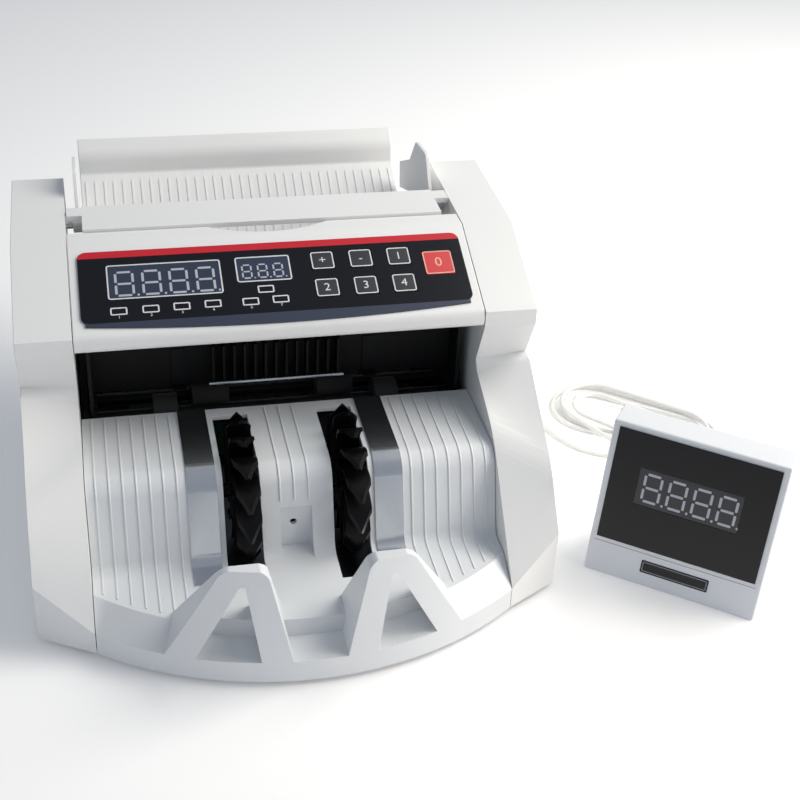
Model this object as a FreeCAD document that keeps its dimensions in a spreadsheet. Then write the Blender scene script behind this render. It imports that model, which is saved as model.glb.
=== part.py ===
import FreeCAD, Part
import math
import os
import re
import Sketcher
from FreeCAD import Placement, Rotation, Vector

# Banknote counting machine with a remote display on a cord.
# +X is to the machine's right as its operator faces it from the front, -Y is the front, +Z is up, in mm.
# Positions below are from the machine's middle plane, and machine_x and machine_y carry them to the frame.

SIZES = {
    # The machine's middle in the frame
    "machine_x": -65.981,
    "machine_y": -10.609,
    # Whole body
    "half_width": 145.5,
    "seam_half": 115.0,
    "seam_gap": 0.4,
    "wall": 2.5,
    "fit_gap": 0.3,
    "slip_gap": 0.05,
    "press_gap": 0.03,
    "foot_height": 3.0,
    "foot_radius": 8.0,
    "foot_inset": 12.0,
    "foot_front_y": -98.0,
    "foot_rear_inset": 22.0,
    "pan_wall": 3.0,
    "back_y": 110.0,
    "top_height": 170.0,
    # Front panel: a flat top, a slope from the crease down to the brow, then the nose
    "crease_y": 24.0,
    "crease_height": 168.0,
    "panel_length": 67.2,
    "panel_angle": 22.75,
    "nose_height": 132.0,
    "nose_lip": 14.0,
    "brow_round": 5.0,
    "nose_round": 4.0,
    "panel_rear_y": 37.6,
    "notch_radius": 66.0,
    "notch_depth": 10.0,
    # Side covers
    "recess_y": -26.0,
    "recess_height": 104.0,
    "recess_rise": 3.0,
    "slope_y": -30.0,
    "slope_height": 98.0,
    "slope_outer_y": -34.0,
    "slope_outer_height": 106.0,
    "bend_y": -72.0,
    "bend_height": 81.0,
    "bend_outer_y": -90.0,
    "bend_outer_height": 70.0,
    "bend_radius": 60.0,
    "corner_y": -115.0,
    "corner_height": 38.5,
    # Bowed front
    "bow_radius": 191.0,
    "bow_reach": 170.5,
    "skirt_height": 16.5,
    "lip_radius": 175.0,
    "step_radius": 169.0,
    "ledge_radius": 172.0,
    "ledge_height": 17.5,
    "ledge_half": 70.0,
    # Stacker tray
    "plate_back_y": -14.0,
    "plate_top": 75.0,
    "knee_y": -78.0,
    "knee_radius": 14.0,
    "heel_radius": 8.0,
    "plate_lean": 19.1,
    "floor_height": 26.5,
    "slot_middle": 30.5,
    "slot_width": 20.5,
    "slot_rear_y": -22.0,
    "slot_front_y": -119.0,
    "strip_middle": 52.2,
    "strip_width": 16.3,
    "strip_gauge": 0.7,
    "strip_front_y": -114.0,
    "stop_height": 71.0,
    "stop_foot": 10.0,
    "stop_inner": 13.0,
    "stop_inner_top": 27.0,
    "stop_outer_top": 49.0,
    "stop_outer": 84.0,
    "stop_inner_round": 8.0,
    "stop_outer_round": 12.0,
    "stop_bar": 9.5,
    "hole_inner": 30.0,
    "hole_inner_top": 38.2,
    "hole_outer_top": 41.2,
    "hole_outer": 68.5,
    "stop_top_radius": 183.0,
    "stop_back_y": -132.0,
    "stop_back_top_y": -153.0,
    "sensor_x": -2.4,
    "sensor_height": 42.7,
    "sensor_radius": 2.0,
    "sensor_half": 6.0,
    "sensor_depth": 9.0,
    "pocket_left": -10.0,
    "pocket_right": 8.0,
    "pocket_top": 53.0,
    "pocket_back_y": -85.5,
    # Overlay, displays and keys on the slope: down it from the crease, and across as shares of the half width
    "overlay_inset": 5.3,
    "overlay_half": "=seam_half - overlay_inset",
    "overlay_top": 7.5,
    "overlay_foot": 58.0,
    "overlay_gauge": 1.0,
    "overlay_corner": 5.0,
    "window_left": "=-0.852*seam_half",
    "window_right": "=0.917*seam_half",
    "window_top": 14.5,
    "window_foot": 54.0,
    "count_left": "=-0.813*seam_half",
    "count_right": "=-0.278*seam_half",
    "count_top": 18.7,
    "count_foot": 41.4,
    "batch_left": "=-0.191*seam_half",
    "batch_right": "=0.065*seam_half",
    "batch_top": 18.2,
    "batch_foot": 34.7,
    "lamp_width": 8.0,
    "lamp_height": 4.0,
    "key_width": 13.2,
    "key_height": 12.6,
    "restart_width": 17.3,
    "restart_height": 17.0,
    "key_column": "=0.235*seam_half",
    "key_pitch": "=0.1935*seam_half",
    "key_row": 23.2,
    "key_lower_row": 43.0,
    "restart_x": "=0.819*seam_half",
    "restart_row": 29.6,
    "key_proud": 0.4,
    "key_travel": 0.4,
    "board_gauge": 1.6,
    # Steel frame and the shafts across it
    "plate_inset": 8.0,
    "plate_inner": "=seam_half - plate_inset",
    "plate_gauge": 2.0,
    "frame_front_y": -74.0,
    "frame_front_top": 56.0,
    "frame_step_y": -62.0,
    "frame_top": 118.0,
    "frame_rear_y": 44.0,
    "shaft_radius": 4.0,
    "bearing_radius": 8.0,
    "bearing_width": 3.5,
    "pulley_radius": 9.0,
    "pulley_inset": 0.8,
    "pulley_width": 4.4,
    "pulley_outer": "=seam_half - pulley_inset",
    "pulley_inner": "=pulley_outer - pulley_width",
    "belt_gauge": 1.4,
    "belt_margin": 0.4,
    "stacker_y": -62.5,
    "stacker_z": 51.5,
    "wheel_radius": 44.0,
    "wheel_shoulder": 37.0,
    "wheel_width": 13.6,
    "wheel_shift": 2.3,
    "wheel_hub": 15.0,
    "fin_orbit": 25.0,
    "fin_curve": 21.0,
    "fin_gauge": 2.2,
    "feed_y": 28.0,
    "feed_z": 60.0,
    "feed_radius": 19.0,
    "feed_x": 38.0,
    "feed_width": 22.0,
    "retard_y": 30.0,
    "retard_z": 95.0,
    "retard_radius": 15.0,
    "pickup_y": 87.0,
    "pickup_z": 74.0,
    "pickup_radius": 16.0,
    "exit_y": 0.0,
    "exit_z": 65.5,
    "exit_radius": 12.0,
    "exit_x": 66.0,
    "exit_width": 14.0,
    "motor_y": 20.0,
    "motor_z": 32.0,
    "motor_radius": 18.0,
    "motor_length": 50.0,
    "motor_shaft": 3.0,
    # Opening above the stacker tray
    "guide_front_y": 6.0,
    "guide_gauge": 2.5,
    "guide_foot": 80.0,
    "guide_top": 131.0,
    "comb_reach": 8.0,
    "comb_half": 37.0,
    "comb_foot": 83.0,
    "comb_top": 110.0,
    "comb_gauge": 1.5,
    "rod_radius": 1.2,
    "rod_height": 86.0,
    "tab_x": 57.0,
    "tab_width": 8.0,
    "tab_gauge": 0.8,
    "tab_foot": 82.0,
    "tab_top": 106.0,
    "tab_toe": 7.0,
    # Hopper, bill guides, rear tray and top flap
    "hinge_y": 103.0,
    "hinge_z": 99.0,
    "tray_angle": 29.0,
    "tray_inset": 9.5,
    "tray_half": "=seam_half - tray_inset",
    "tray_length": 86.0,
    "tray_gauge": 2.5,
    "lip_run": 8.4,
    "lip_rise": 9.0,
    "roll_run": 12.3,
    "roll_rise": 2.7,
    "roll_edge": 1.2,
    "roll_radius": 14.0,
    "lip_round": 3.0,
    "barrel_radius": 4.0,
    "pin_radius": 2.5,
    "pin_depth": 1.6,
    "hopper_near": 7.0,
    "hopper_far": 61.0,
    "hopper_gauge": 2.0,
    "hopper_slot": 13.0,
    "rail_y": 74.0,
    "rail_z": 156.0,
    "rail_radius": 2.5,
    "hub_radius": 5.0,
    "guide_inset": 6.0,
    "blade_gauge": 2.0,
    "guide_outer": "=seam_half - guide_inset",
    "guide_inner": "=guide_outer - blade_gauge",
    "guide_travel": 25.0,
    "guide_round": 6.0,
    "flap_inset": 9.5,
    "flap_half": "=seam_half - flap_inset",
    "flap_front_y": 38.3,
    "flap_rear_y": 69.5,
    "flap_top": 169.5,
    "flap_gauge": 3.0,
    "flap_hinge_y": 64.0,
    "flap_pin": 1.0,
    "lug_front": 7.0,
    "lug_rear": 4.0,
    # Rear face
    "rear_top": 90.0,
    "inlet_x": -70.0,
    "inlet_z": 28.0,
    "inlet_half": 14.0,
    "inlet_rise": 10.0,
    "inlet_depth": 20.0,
    "inlet_rim": 2.0,
    "inlet_wall": 2.0,
    "prong_pitch": 7.0,
    "prong_shift": 2.0,
    "switch_x": -32.0,
    "switch_half": 6.0,
    "switch_rise": 9.5,
    "jack_x": 85.0,
    "jack_z": 28.0,
    "jack_radius": 5.0,
    "jack_proud": 3.0,
    # Main board
    "main_left": -98.0,
    "main_right": -18.0,
    "main_front_y": 28.0,
    "main_rear_y": 92.0,
    "main_rise": 5.0,
    "pillar_radius": 3.0,
    "pillar_inset": 5.0,
    # Remote display, from its front left corner on the table
    "display_x": 169.1,
    "display_y": -101.5,
    "display_turn": 37.4,
    "display_width": 102.0,
    "display_height": 93.0,
    "display_lean": 13.5,
    "display_top_depth": 19.0,
    "display_base_depth": 45.0,
    "screen_margin": 4.0,
    "screen_foot": 23.0,
    "screen_top": 92.5,
    "screen_gauge": 0.8,
    "digits_left": 20.8,
    "digits_right": 81.0,
    "digits_foot": 49.4,
    "digits_top": 71.9,
    "gland_half": 4.0,
    "gland_z": 14.0,
    "gland_length": 9.0,
    # Cord between the machine's jack and the remote display
    "cord_radius": 1.5,
    "plug_radius": 4.5,
    "plug_length": 20.0,
    "layer_step": 3.7,
}

KEYS = {
    "key_plus": ("key_column", "key_row"),
    "key_minus": ("key_column + key_pitch", "key_row"),
    "key_batch": ("key_column + 2*key_pitch", "key_row"),
    "key_add": ("key_column", "key_lower_row"),
    "key_uv": ("key_column + key_pitch", "key_lower_row"),
    "key_mg": ("key_column + 2*key_pitch", "key_lower_row"),
    "key_restart": ("restart_x", "restart_row"),
}
# Centres of the indicator lamps on the slope: across as shares of the half width, and down from the crease
LAMPS = [(-0.7757, 50.4), (-0.6252, 50.1), (-0.4783, 49.6), (-0.3296, 49.2), (-0.1478, 49.4), (-0.0652, 41.2),
         (-0.0009, 48.9)]
# Corners of a bill guide's blade beyond its rail: its back, its crown, its long tongue and its belly
GUIDE_CORNERS = [("78", "166"), ("90.5", "184"), ("118", "181"), ("131.5", "163"), ("159.5", "149.5"),
                 ("156", "132"), ("127", "142"), ("100", "143")]

doc = FreeCAD.newDocument("BanknoteCounter")
sheet = doc.addObject("Spreadsheet::Sheet", "Sizes")
for row, (alias, value) in enumerate(SIZES.items(), start=1):
    sheet.set(f"A{row}", str(value))
    sheet.setAlias(f"A{row}", alias)
doc.recompute()

WORD = re.compile(r"[a-z][a-z_]+")
NODES = []


def bound(text):
    """An expression with each size's name written as a reference to its cell."""
    return WORD.sub(lambda m: "Sizes." + m.group() if m.group() in SIZES else m.group(), str(text))


def number(text):
    """The present value of an expression of sizes."""
    return float(sheet.evalExpression(str(text)))


def node(obj):
    """Mark a finished piece for export under its label."""
    NODES.append(obj.Label)
    return obj


def labelled(kind, label):
    obj = doc.addObject(kind, label)
    obj.Label = label
    return obj


def place(obj, x="0", y="0", z="0", turn=None, angle="0"):
    """Put an object at a point of the machine, turned about an axis of its own."""
    if turn:
        obj.Placement = Placement(Vector(0, 0, 0), Rotation(Vector(*turn), number(angle)))
        obj.setExpression("Placement.Rotation.Angle", bound(angle))
    obj.setExpression("Placement.Base.x", bound(f"machine_x + ({x})"))
    obj.setExpression("Placement.Base.y", bound(f"machine_y + ({y})"))
    obj.setExpression("Placement.Base.z", bound(z))
    return obj


def sized_box(label, x, y, z):
    box = labelled("Part::Box", label)
    for side, (low, high) in zip(("Length", "Width", "Height"), (x, y, z)):
        box.setExpression(side, bound(f"({high}) - ({low})"))
    return box


def block(label, x, y, z):
    """A box between pairs of limits along X, Y and Z."""
    return place(sized_box(label, x, y, z), x[0], y[0], z[0])


def panel_block(label, x, down, rise):
    """A box on the front panel's slope: across, down from the crease, and above its face."""
    box = sized_box(label, x, down, rise)
    y = f"crease_y - ({down[1]})*cos(panel_angle) - ({rise[0]})*sin(panel_angle)"
    z = f"crease_height - ({down[1]})*sin(panel_angle) + ({rise[0]})*cos(panel_angle)"
    return place(box, x[0], y, z, (1, 0, 0), "panel_angle")


def hopper_block(label, x, along, rise):
    """A box on the hopper's slope: across, up it from the tray hinge, and above its middle."""
    box = sized_box(label, x, along, rise)
    y = f"hinge_y + ({along[0]})*cos(tray_angle) - ({rise[0]})*sin(tray_angle)"
    z = f"hinge_z + ({along[0]})*sin(tray_angle) + ({rise[0]})*cos(tray_angle)"
    return place(box, x[0], y, z, (1, 0, 0), "tray_angle")


def rod(label, x, y, z, radius):
    """A cylinder along whichever of x, y and z is a pair of limits."""
    cylinder = labelled("Part::Cylinder", label)
    cylinder.setExpression("Radius", bound(radius))
    limits = [isinstance(place_of, tuple) for place_of in (x, y, z)]
    low, high = (x, y, z)[limits.index(True)]
    cylinder.setExpression("Height", bound(f"({high}) - ({low})"))
    start = [pair[0] if isinstance(pair, tuple) else pair for pair in (x, y, z)]
    turns = [((0, 1, 0), "90"), ((1, 0, 0), "-90"), (None, "0")]
    return place(cylinder, *start, *turns[limits.index(True)])


def outline(body, plane, points):
    """A closed sketch on one of a body's own planes, with every corner held by the sizes."""
    sketch = body.newObject("Sketcher::SketchObject", body.Label + "_outline")
    base = [face for face in body.Origin.OriginFeatures if face.Role == plane][0]
    sketch.AttachmentSupport = [(base, "")]
    sketch.MapMode = "FlatFace"
    corners = [Vector(number(u), number(v), 0) for u, v in points]
    count = len(corners)
    for i in range(count):
        sketch.addGeometry(Part.LineSegment(corners[i], corners[(i + 1) % count]))
    for i in range(count):
        sketch.addConstraint(Sketcher.Constraint("Coincident", i, 2, (i + 1) % count, 1))
    for i, (u, v) in enumerate(points):
        for kind, text, value in (("DistanceX", u, corners[i].x), ("DistanceY", v, corners[i].y)):
            index = sketch.addConstraint(Sketcher.Constraint(kind, -1, 1, i, 1, value))
            sketch.setExpression(f"Constraints[{index}]", bound(text))
    return sketch, corners


def prism(label, points, span, plane="YZ_Plane", rounds=()):
    """A body padded from an outline between two limits, with some long edges rounded."""
    body = labelled("PartDesign::Body", label)
    sketch, corners = outline(body, plane, points)
    start = f"-({span[1]})" if plane == "XZ_Plane" else span[0]
    sketch.setExpression("AttachmentOffset.Base.z", bound(start))
    pad = body.newObject("PartDesign::Pad", label + "_pad")
    pad.Profile = sketch
    pad.setExpression("Length", bound(f"({span[1]}) - ({span[0]})"))
    place(body)
    doc.recompute()
    feature = pad
    for corner, radius in rounds:
        feature = round_edge(body, feature, corners[corner], plane, radius)
    body.Tip = feature
    doc.recompute()
    return body


def round_edge(body, feature, corner, plane, radius):
    """Round the long edge that stands on one corner of the outline."""
    wanted = []
    for number_of, edge in enumerate(feature.Shape.Edges, start=1):
        ends = [vertex.Point for vertex in edge.Vertexes]
        flat = [Vector(p.y, p.z, 0) if plane == "YZ_Plane" else Vector(p.x, p.z, 0) for p in ends]
        if len(flat) == 2 and all((point - corner).Length < 0.01 for point in flat):
            wanted.append(f"Edge{number_of}")
    fillet = body.newObject("PartDesign::Fillet", body.Label + "_round")
    fillet.Base = (feature, wanted)
    fillet.Radius = number(radius)
    fillet.setExpression("Radius", bound(radius))
    doc.recompute()
    return fillet


def turned(label, points, x, y):
    """A body turned about an upright axis from an outline of radius and height."""
    body = labelled("PartDesign::Body", label)
    sketch, _ = outline(body, "XZ_Plane", points)
    spin = body.newObject("PartDesign::Revolution", label + "_turn")
    spin.Profile = sketch
    spin.ReferenceAxis = (sketch, ["V_Axis"])
    spin.Angle = 360.0
    place(body, x, y)
    doc.recompute()
    return body


def cut(label, base, tools):
    result = labelled("Part::Cut", label)
    result.Base = base
    result.Tool = tools[0] if len(tools) == 1 else group(label + "_openings", tools)
    return result


def join(label, pieces):
    result = labelled("Part::MultiFuse", label)
    result.Shapes = pieces
    return result


def overlap(label, pieces):
    result = labelled("Part::MultiCommon", label)
    result.Shapes = pieces
    return result


def group(label, pieces):
    result = labelled("Part::Compound", label)
    result.Links = pieces
    return result


def shaped(label, shape):
    """A piece whose form is worked out below, set at the machine's middle."""
    obj = labelled("Part::Feature", label)
    obj.Shape = shape
    return place(obj)


# Base: a flat pan under the bowed front, on four rubber feet
pan_edge = "(wall + fit_gap)"
pan_top = "foot_height + pan_wall"
pan_sheet = block("base_sheet", (f"{pan_edge} - half_width", f"half_width - {pan_edge}"),
                  ("-bow_reach", f"back_y - {pan_edge}"), ("foot_height", pan_top))
pan_bow = rod("base_bow", "0", "bow_radius - bow_reach", ("foot_height", pan_top), f"bow_radius - {pan_edge}")
pan_corner = prism("base_corner", [(f"half_width - {pan_edge}", f"corner_y + {pan_edge}"),
                                   ("half_width", f"corner_y + {pan_edge}"), ("half_width", "-bow_reach"),
                                   ("seam_half", "-bow_reach"),
                                   ("seam_half",
                                    "bow_radius - bow_reach - sqrt(bow_radius^2 - seam_half^2) + wall*2")],
                   ("0", "20"), "XY_Plane")
pan_far = labelled("Part::Mirroring", "base_corner_left")
pan_far.Source = pan_corner
pan_far.Normal = (1, 0, 0)
pan_far.setExpression("Base.x", bound("machine_x"))
node(cut("base_pan", overlap("base_bowed", [pan_sheet, pan_bow]), [pan_corner, pan_far]))
feet = []
for side in ("-", ""):
    for end, y in (("front", "foot_front_y"), ("rear", "back_y - foot_rear_inset")):
        feet.append(rod(f"foot_{end}{side}", f"{side}(seam_half - foot_inset)", y, ("0", "foot_height"),
                        "foot_radius"))
node(group("rubber_feet", feet))

# Stacker tray: ribbed plate, floor and bow-fronted skirt in one moulding
lean_shift = "(tan(plate_lean) - 1/cos(plate_lean))"
heel_y = "(knee_y - (plate_top - floor_height)*tan(plate_lean))"
bow_y = "(bow_radius - bow_reach)"


def tray_outline(lift, rear, foot):
    """The tray's section, moved out by a lift, closed down to a foot."""
    return [(rear, f"plate_top + ({lift})"), (f"knee_y + ({lift})*{lean_shift}", f"plate_top + ({lift})"),
            (f"{heel_y} + ({lift})*{lean_shift}", f"floor_height + ({lift})"),
            ("-bow_reach - 10", f"floor_height + ({lift})"), ("-bow_reach - 10", foot), (rear, foot)]


def tray_solid(label, lift, rear, foot, span):
    rounds = [(1, f"knee_radius + ({lift})"), (2, f"heel_radius - ({lift})")]
    return prism(label, tray_outline(lift, rear, foot), span, rounds=rounds)


tray_span = ("seam_gap - seam_half", "seam_half - seam_gap")
wide_span = ("-seam_half - 5", "seam_half + 5")
tray_bow = turned("tray_bow",
                  [("0", "foot_height"), ("bow_radius", "foot_height"), ("bow_radius", "skirt_height"),
                   ("lip_radius", "floor_height"), ("lip_radius", "plate_top + 10"), ("0", "plate_top + 10")],
                  "0", bow_y)
tray_hollow_bow = turned("tray_hollow_bow",
                         [("0", "foot_height - 2"), ("bow_radius - wall", "foot_height - 2"),
                          ("bow_radius - wall", "skirt_height - wall/2"),
                          ("lip_radius - wall/2", "floor_height - wall"),
                          ("lip_radius - wall/2", "plate_top + 10"), ("0", "plate_top + 10")],
                         "0", bow_y)
tray_outer = tray_solid("tray_outer", "0", "plate_back_y", "foot_height", tray_span)
tray_inner = tray_solid("tray_inner", "-wall", "plate_back_y + 5", "foot_height - 2", wide_span)
tray_block = overlap("tray_block", [tray_outer, tray_bow])
tray_hollow = overlap("tray_hollow", [tray_inner, tray_hollow_bow])
tray_shell = cut("tray_shell", tray_block, [tray_hollow])

# Between the outer legs of the stops, the floor steps down to a flat ledge behind the skirt
over_tray = "plate_top + 10"
ledge_bow = turned("ledge_bow",
                   [("0", "foot_height"), ("bow_radius", "foot_height"), ("bow_radius", "skirt_height"),
                    ("ledge_radius", "ledge_height"), ("step_radius", "floor_height"),
                    ("step_radius", over_tray), ("0", over_tray)], "0", bow_y)
ledge_hollow_bow = turned("ledge_hollow_bow",
                          [("0", "foot_height - 2"), ("bow_radius - wall", "foot_height - 2"),
                           ("bow_radius - wall", "skirt_height - wall"),
                           ("ledge_radius - wall", "ledge_height - wall"),
                           ("step_radius - wall", "floor_height - wall"),
                           ("step_radius - wall", over_tray), ("0", over_tray)], "0", bow_y)
ledge_span = block("ledge_span", ("-ledge_half", "ledge_half"), ("-bow_reach - 20", "strip_front_y"),
                   ("0", over_tray))
ledge_block = overlap("ledge_block", [tray_outer, ledge_bow, ledge_span])
ledge_hollow = overlap("ledge_hollow", [tray_inner, ledge_hollow_bow])
ledge_shell = cut("ledge_shell", ledge_block, [ledge_hollow])
tray_sides = cut("tray_sides", tray_shell, [ledge_span])

# Two stops like a letter A, with front faces that carry the skirt's bow upward
stop_ring = turned("stop_ring", [("100", "floor_height - 1"), ("step_radius - 1", "floor_height - 1"),
                                 ("ledge_radius - 1", "ledge_height - 1"),
                                 ("bow_radius - wall", "skirt_height - 1"),
                                 ("bow_radius", "skirt_height"), ("stop_top_radius", "stop_height"),
                                 ("100", "stop_height")], "0", bow_y)
stop_wedge = prism("stop_wedge", [("stop_back_y", "floor_height - 2"), ("stop_back_top_y", "stop_height + 1"),
                                  ("-bow_reach - 10", "stop_height + 1"), ("-bow_reach - 10", "5"),
                                  ("stop_back_y", "5")], ("-100", "100"))
stops = []
for name, side in (("left", "-"), ("right", "")):
    frame_points = [(f"{side}stop_inner", "stop_foot"), (f"{side}stop_inner_top", "stop_height + 0.5"),
                    (f"{side}stop_outer_top", "stop_height + 0.5"), (f"{side}stop_outer", "stop_foot")]
    hole_points = [(f"{side}hole_inner", "stop_foot"), (f"{side}hole_inner_top", "stop_height - stop_bar"),
                   (f"{side}hole_outer_top", "stop_height - stop_bar"), (f"{side}hole_outer", "stop_foot")]
    outer = prism(f"stop_{name}_outer", frame_points, ("-bow_reach - 10", "-110"), "XZ_Plane",
                  [(1, "stop_inner_round"), (2, "stop_outer_round")])
    hole = prism(f"stop_{name}_hole", hole_points, ("-bow_reach - 12", "-108"), "XZ_Plane")
    legs = cut(f"stop_{name}_legs", outer, [hole])
    stops.append(overlap(f"stop_{name}", [stop_ring, stop_wedge, legs]))
slots = []
for side in ("-", ""):
    middle = f"{side}slot_middle"
    slots.append(block(f"wheel_slot{side}", (f"{middle} - slot_width/2", f"{middle} + slot_width/2"),
                       ("slot_front_y", "slot_rear_y"), ("foot_height + 3", "plate_top + 5")))
sensor_hole = rod("sensor_hole", "sensor_x", (f"{heel_y} - 2", "knee_y + 5"), "sensor_height",
                  "sensor_radius")
sensor_face = "(pocket_back_y + wall)"
pocket_walls = block("pocket_walls", ("pocket_left - wall", "pocket_right + wall"),
                     (f"{heel_y} - 2", sensor_face),
                     ("floor_height - wall", "pocket_top + wall"))
pocket_case = overlap("pocket_case", [tray_outer, pocket_walls])
pocket = block("pocket", ("pocket_left", "pocket_right"), ("strip_front_y", "pocket_back_y"),
               ("floor_height", "pocket_top"))
tray_full = join("tray_full", [tray_sides, ledge_shell, pocket_case] + stops)
node(cut("stacker_tray", tray_full, slots + [sensor_hole, pocket]))
node(block("stack_sensor", ("sensor_x - sensor_half", "sensor_x + sensor_half"),
           (f"{sensor_face} + fit_gap", f"{sensor_face} + sensor_depth"),
           ("sensor_height - sensor_half", "sensor_height + sensor_half")))

# Bright steel strips lying on the tray from its rear edge to the floor
strips = []
for side in ("-", ""):
    span = (f"{side}strip_middle - strip_width/2", f"{side}strip_middle + strip_width/2")
    upper = tray_solid(f"strip_upper{side}", "strip_gauge + slip_gap", "plate_back_y - 0.5",
                       "floor_height - 8", span)
    wide = (f"{span[0]} - 1", f"{span[1]} + 1")
    under = tray_solid(f"strip_under{side}", "slip_gap", "plate_back_y + 5", "floor_height - 9", wide)
    front = block(f"strip_front{side}", wide, ("-bow_reach - 20", "strip_front_y"), ("0", "plate_top"))
    strips.append(cut(f"strip{side}", upper, [under, front]))
node(group("steel_strips", strips))


# Side covers: hollow mouldings, ruled from the seam's outline to the outer one
def inset(points, depth):
    """An outline moved inward by a depth."""
    moved = []
    count = len(points)
    for i in range(count):
        before, here, after = (Vector(*points[(i + step) % count], 0) for step in (-1, 0, 1))
        first = (here - before).normalize()
        second = (after - here).normalize()
        first_in = Vector(-first.y, first.x, 0)
        second_in = Vector(-second.y, second.x, 0)
        bisector = first_in + second_in
        moved.append(here + bisector * (depth / (1 + first_in.dot(second_in))))
    return [(point.x, point.y) for point in moved]


def cover_outline(outer, foot):
    """A side cover's section at the seam or at its outer face, counter-clockwise."""
    brow = (number("crease_y - panel_length*cos(panel_angle)"),
            number("crease_height - panel_length*sin(panel_angle)"))
    seam_y = number("bow_radius - bow_reach - sqrt(bow_radius^2 - seam_half^2)")
    part = "_outer" if outer else ""
    front_y = number("corner_y") if outer else seam_y
    front_top = number("corner_height") if outer else number("skirt_height")
    outline = [(number("back_y"), foot), (number("back_y"), number("top_height")),
               (number("crease_y"), number("crease_height")), brow, (brow[0], number("nose_height")),
               (number("recess_y"), number("recess_height + recess_rise" if outer else "recess_height")),
               (number(f"slope{part}_y"), number(f"slope{part}_height")),
               (number(f"bend{part}_y"), number(f"bend{part}_height")), (front_y, front_top), (front_y, foot)]
    return eased(outline, 7, number("bend_radius"))


def eased(points, index, radius, steps=6):
    """An outline with one of its corners replaced by a row of points on an arc."""
    before, corner, after = (Vector(*points[index + step], 0) for step in (-1, 0, 1))
    inward = (before - corner).normalize()
    onward = (after - corner).normalize()
    half = inward.getAngle(onward) / 2
    centre = corner + (inward + onward).normalize() * (radius / math.sin(half))
    start = corner + inward * (radius / math.tan(half)) - centre
    finish = corner + onward * (radius / math.tan(half)) - centre
    sweep = start.getAngle(finish)
    arc = []
    for step in range(steps + 1):
        share = step / steps
        spoke = start * math.sin(sweep * (1 - share)) + finish * math.sin(sweep * share)
        arc.append(centre + spoke * (1 / math.sin(sweep)))
    return points[:index] + [(point.x, point.y) for point in arc] + points[index + 1:]


def loft(sections):
    """A ruled solid between two outlines, each at its own place across the machine."""
    wires = []
    for x, points in sections:
        corners = [Vector(x, y, z) for y, z in points]
        wires.append(Part.makePolygon(corners + corners[:1]))
    return Part.makeLoft(wires, True, True)


# The flap's stub pins lie flush with its underside
flap_pin_z = "(flap_top - flap_gauge + flap_pin)"


def side_cover(label, sign):
    wall = number("wall")
    foot = number("foot_height")
    near = number("seam_half")
    far = number("half_width")
    solid = loft([(sign * near, cover_outline(False, foot)), (sign * far, cover_outline(True, foot))])
    hollow = loft([(sign * (near + wall), inset(cover_outline(False, foot - 3 * wall), wall)),
                   (sign * (far - wall), inset(cover_outline(True, foot - 3 * wall), wall))])
    pan_front = number("bow_radius - bow_reach - sqrt(bow_radius^2 - seam_half^2) + 2*wall - fit_gap")
    step = Part.makeBox(wall + 2, number("back_y - wall") - pan_front, number(pan_top))
    step.translate(Vector(near - 1 if sign > 0 else -near - wall - 1, pan_front, 0))
    cover = solid.cut(hollow).cut(step)
    across = Vector(sign, 0, 0)
    for y, z, radius in (("hinge_y", "hinge_z", "pin_radius"),
                         ("flap_hinge_y", flap_pin_z, "flap_pin")):
        start = Vector(sign * (near - 1), number(y), number(z))
        cover = cover.cut(Part.makeCylinder(number(f"{radius} + slip_gap"), wall + 2, start, across))
    return node(shaped(label, cover))


side_cover("left_side_cover", -1)
side_cover("right_side_cover", 1)

# Rear cover with its power inlet, rocker switch and display jack
body_span = ("seam_gap - seam_half", "seam_half - seam_gap")
rear_sheet = block("rear_sheet", body_span, ("back_y - wall", "back_y"), ("foot_height", "rear_top"))
inlet_x = ("inlet_x - inlet_half", "inlet_x + inlet_half")
inlet_z = ("inlet_z - inlet_rise", "inlet_z + inlet_rise")
through = ("back_y - wall - 1", "back_y + 1")
inlet_cut = block("inlet_cut", inlet_x, through, inlet_z)
switch_cut = block("switch_cut",
                   ("switch_x - switch_half - 2*fit_gap", "switch_x + switch_half + 2*fit_gap"), through,
                   ("inlet_z - switch_rise - 2*fit_gap", "inlet_z + switch_rise + 2*fit_gap"))
jack_cut = rod("jack_cut", "jack_x", through, "jack_z", "jack_radius + press_gap")
node(cut("rear_cover", rear_sheet, [inlet_cut, switch_cut, jack_cut]))
inlet_block = block("inlet_block", ("inlet_x - inlet_half + press_gap", "inlet_x + inlet_half - press_gap"),
                    ("back_y - inlet_depth", "back_y"),
                    ("inlet_z - inlet_rise + press_gap", "inlet_z + inlet_rise - press_gap"))
inlet_flange = block("inlet_flange",
                     ("inlet_x - inlet_half - inlet_wall", "inlet_x + inlet_half + inlet_wall"),
                     ("back_y", "back_y + inlet_rim"),
                     ("inlet_z - inlet_rise - inlet_wall", "inlet_z + inlet_rise + inlet_wall"))
inlet_well = block("inlet_well",
                   ("inlet_x - inlet_half + inlet_wall", "inlet_x + inlet_half - inlet_wall"),
                   ("back_y - inlet_depth + 2*inlet_wall", "back_y + inlet_rim + 1"),
                   ("inlet_z - inlet_rise + inlet_wall", "inlet_z + inlet_rise - inlet_wall"))
inlet_shell = cut("inlet_shell", join("inlet_body", [inlet_block, inlet_flange]), [inlet_well])
blades = []
INLET_BLADES = [("inlet_x - prong_pitch", "inlet_z - prong_shift"), ("inlet_x", "inlet_z + prong_shift"),
                ("inlet_x + prong_pitch", "inlet_z - prong_shift")]
for index, (x, z) in enumerate(INLET_BLADES):
    blades.append(block(f"inlet_blade_{index}", (f"{x} - 1", f"{x} + 1"),
                        ("back_y - inlet_depth + 3", "back_y - 4"), (f"{z} - 2", f"{z} + 2")))
node(join("power_inlet", [inlet_shell] + blades))
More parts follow.
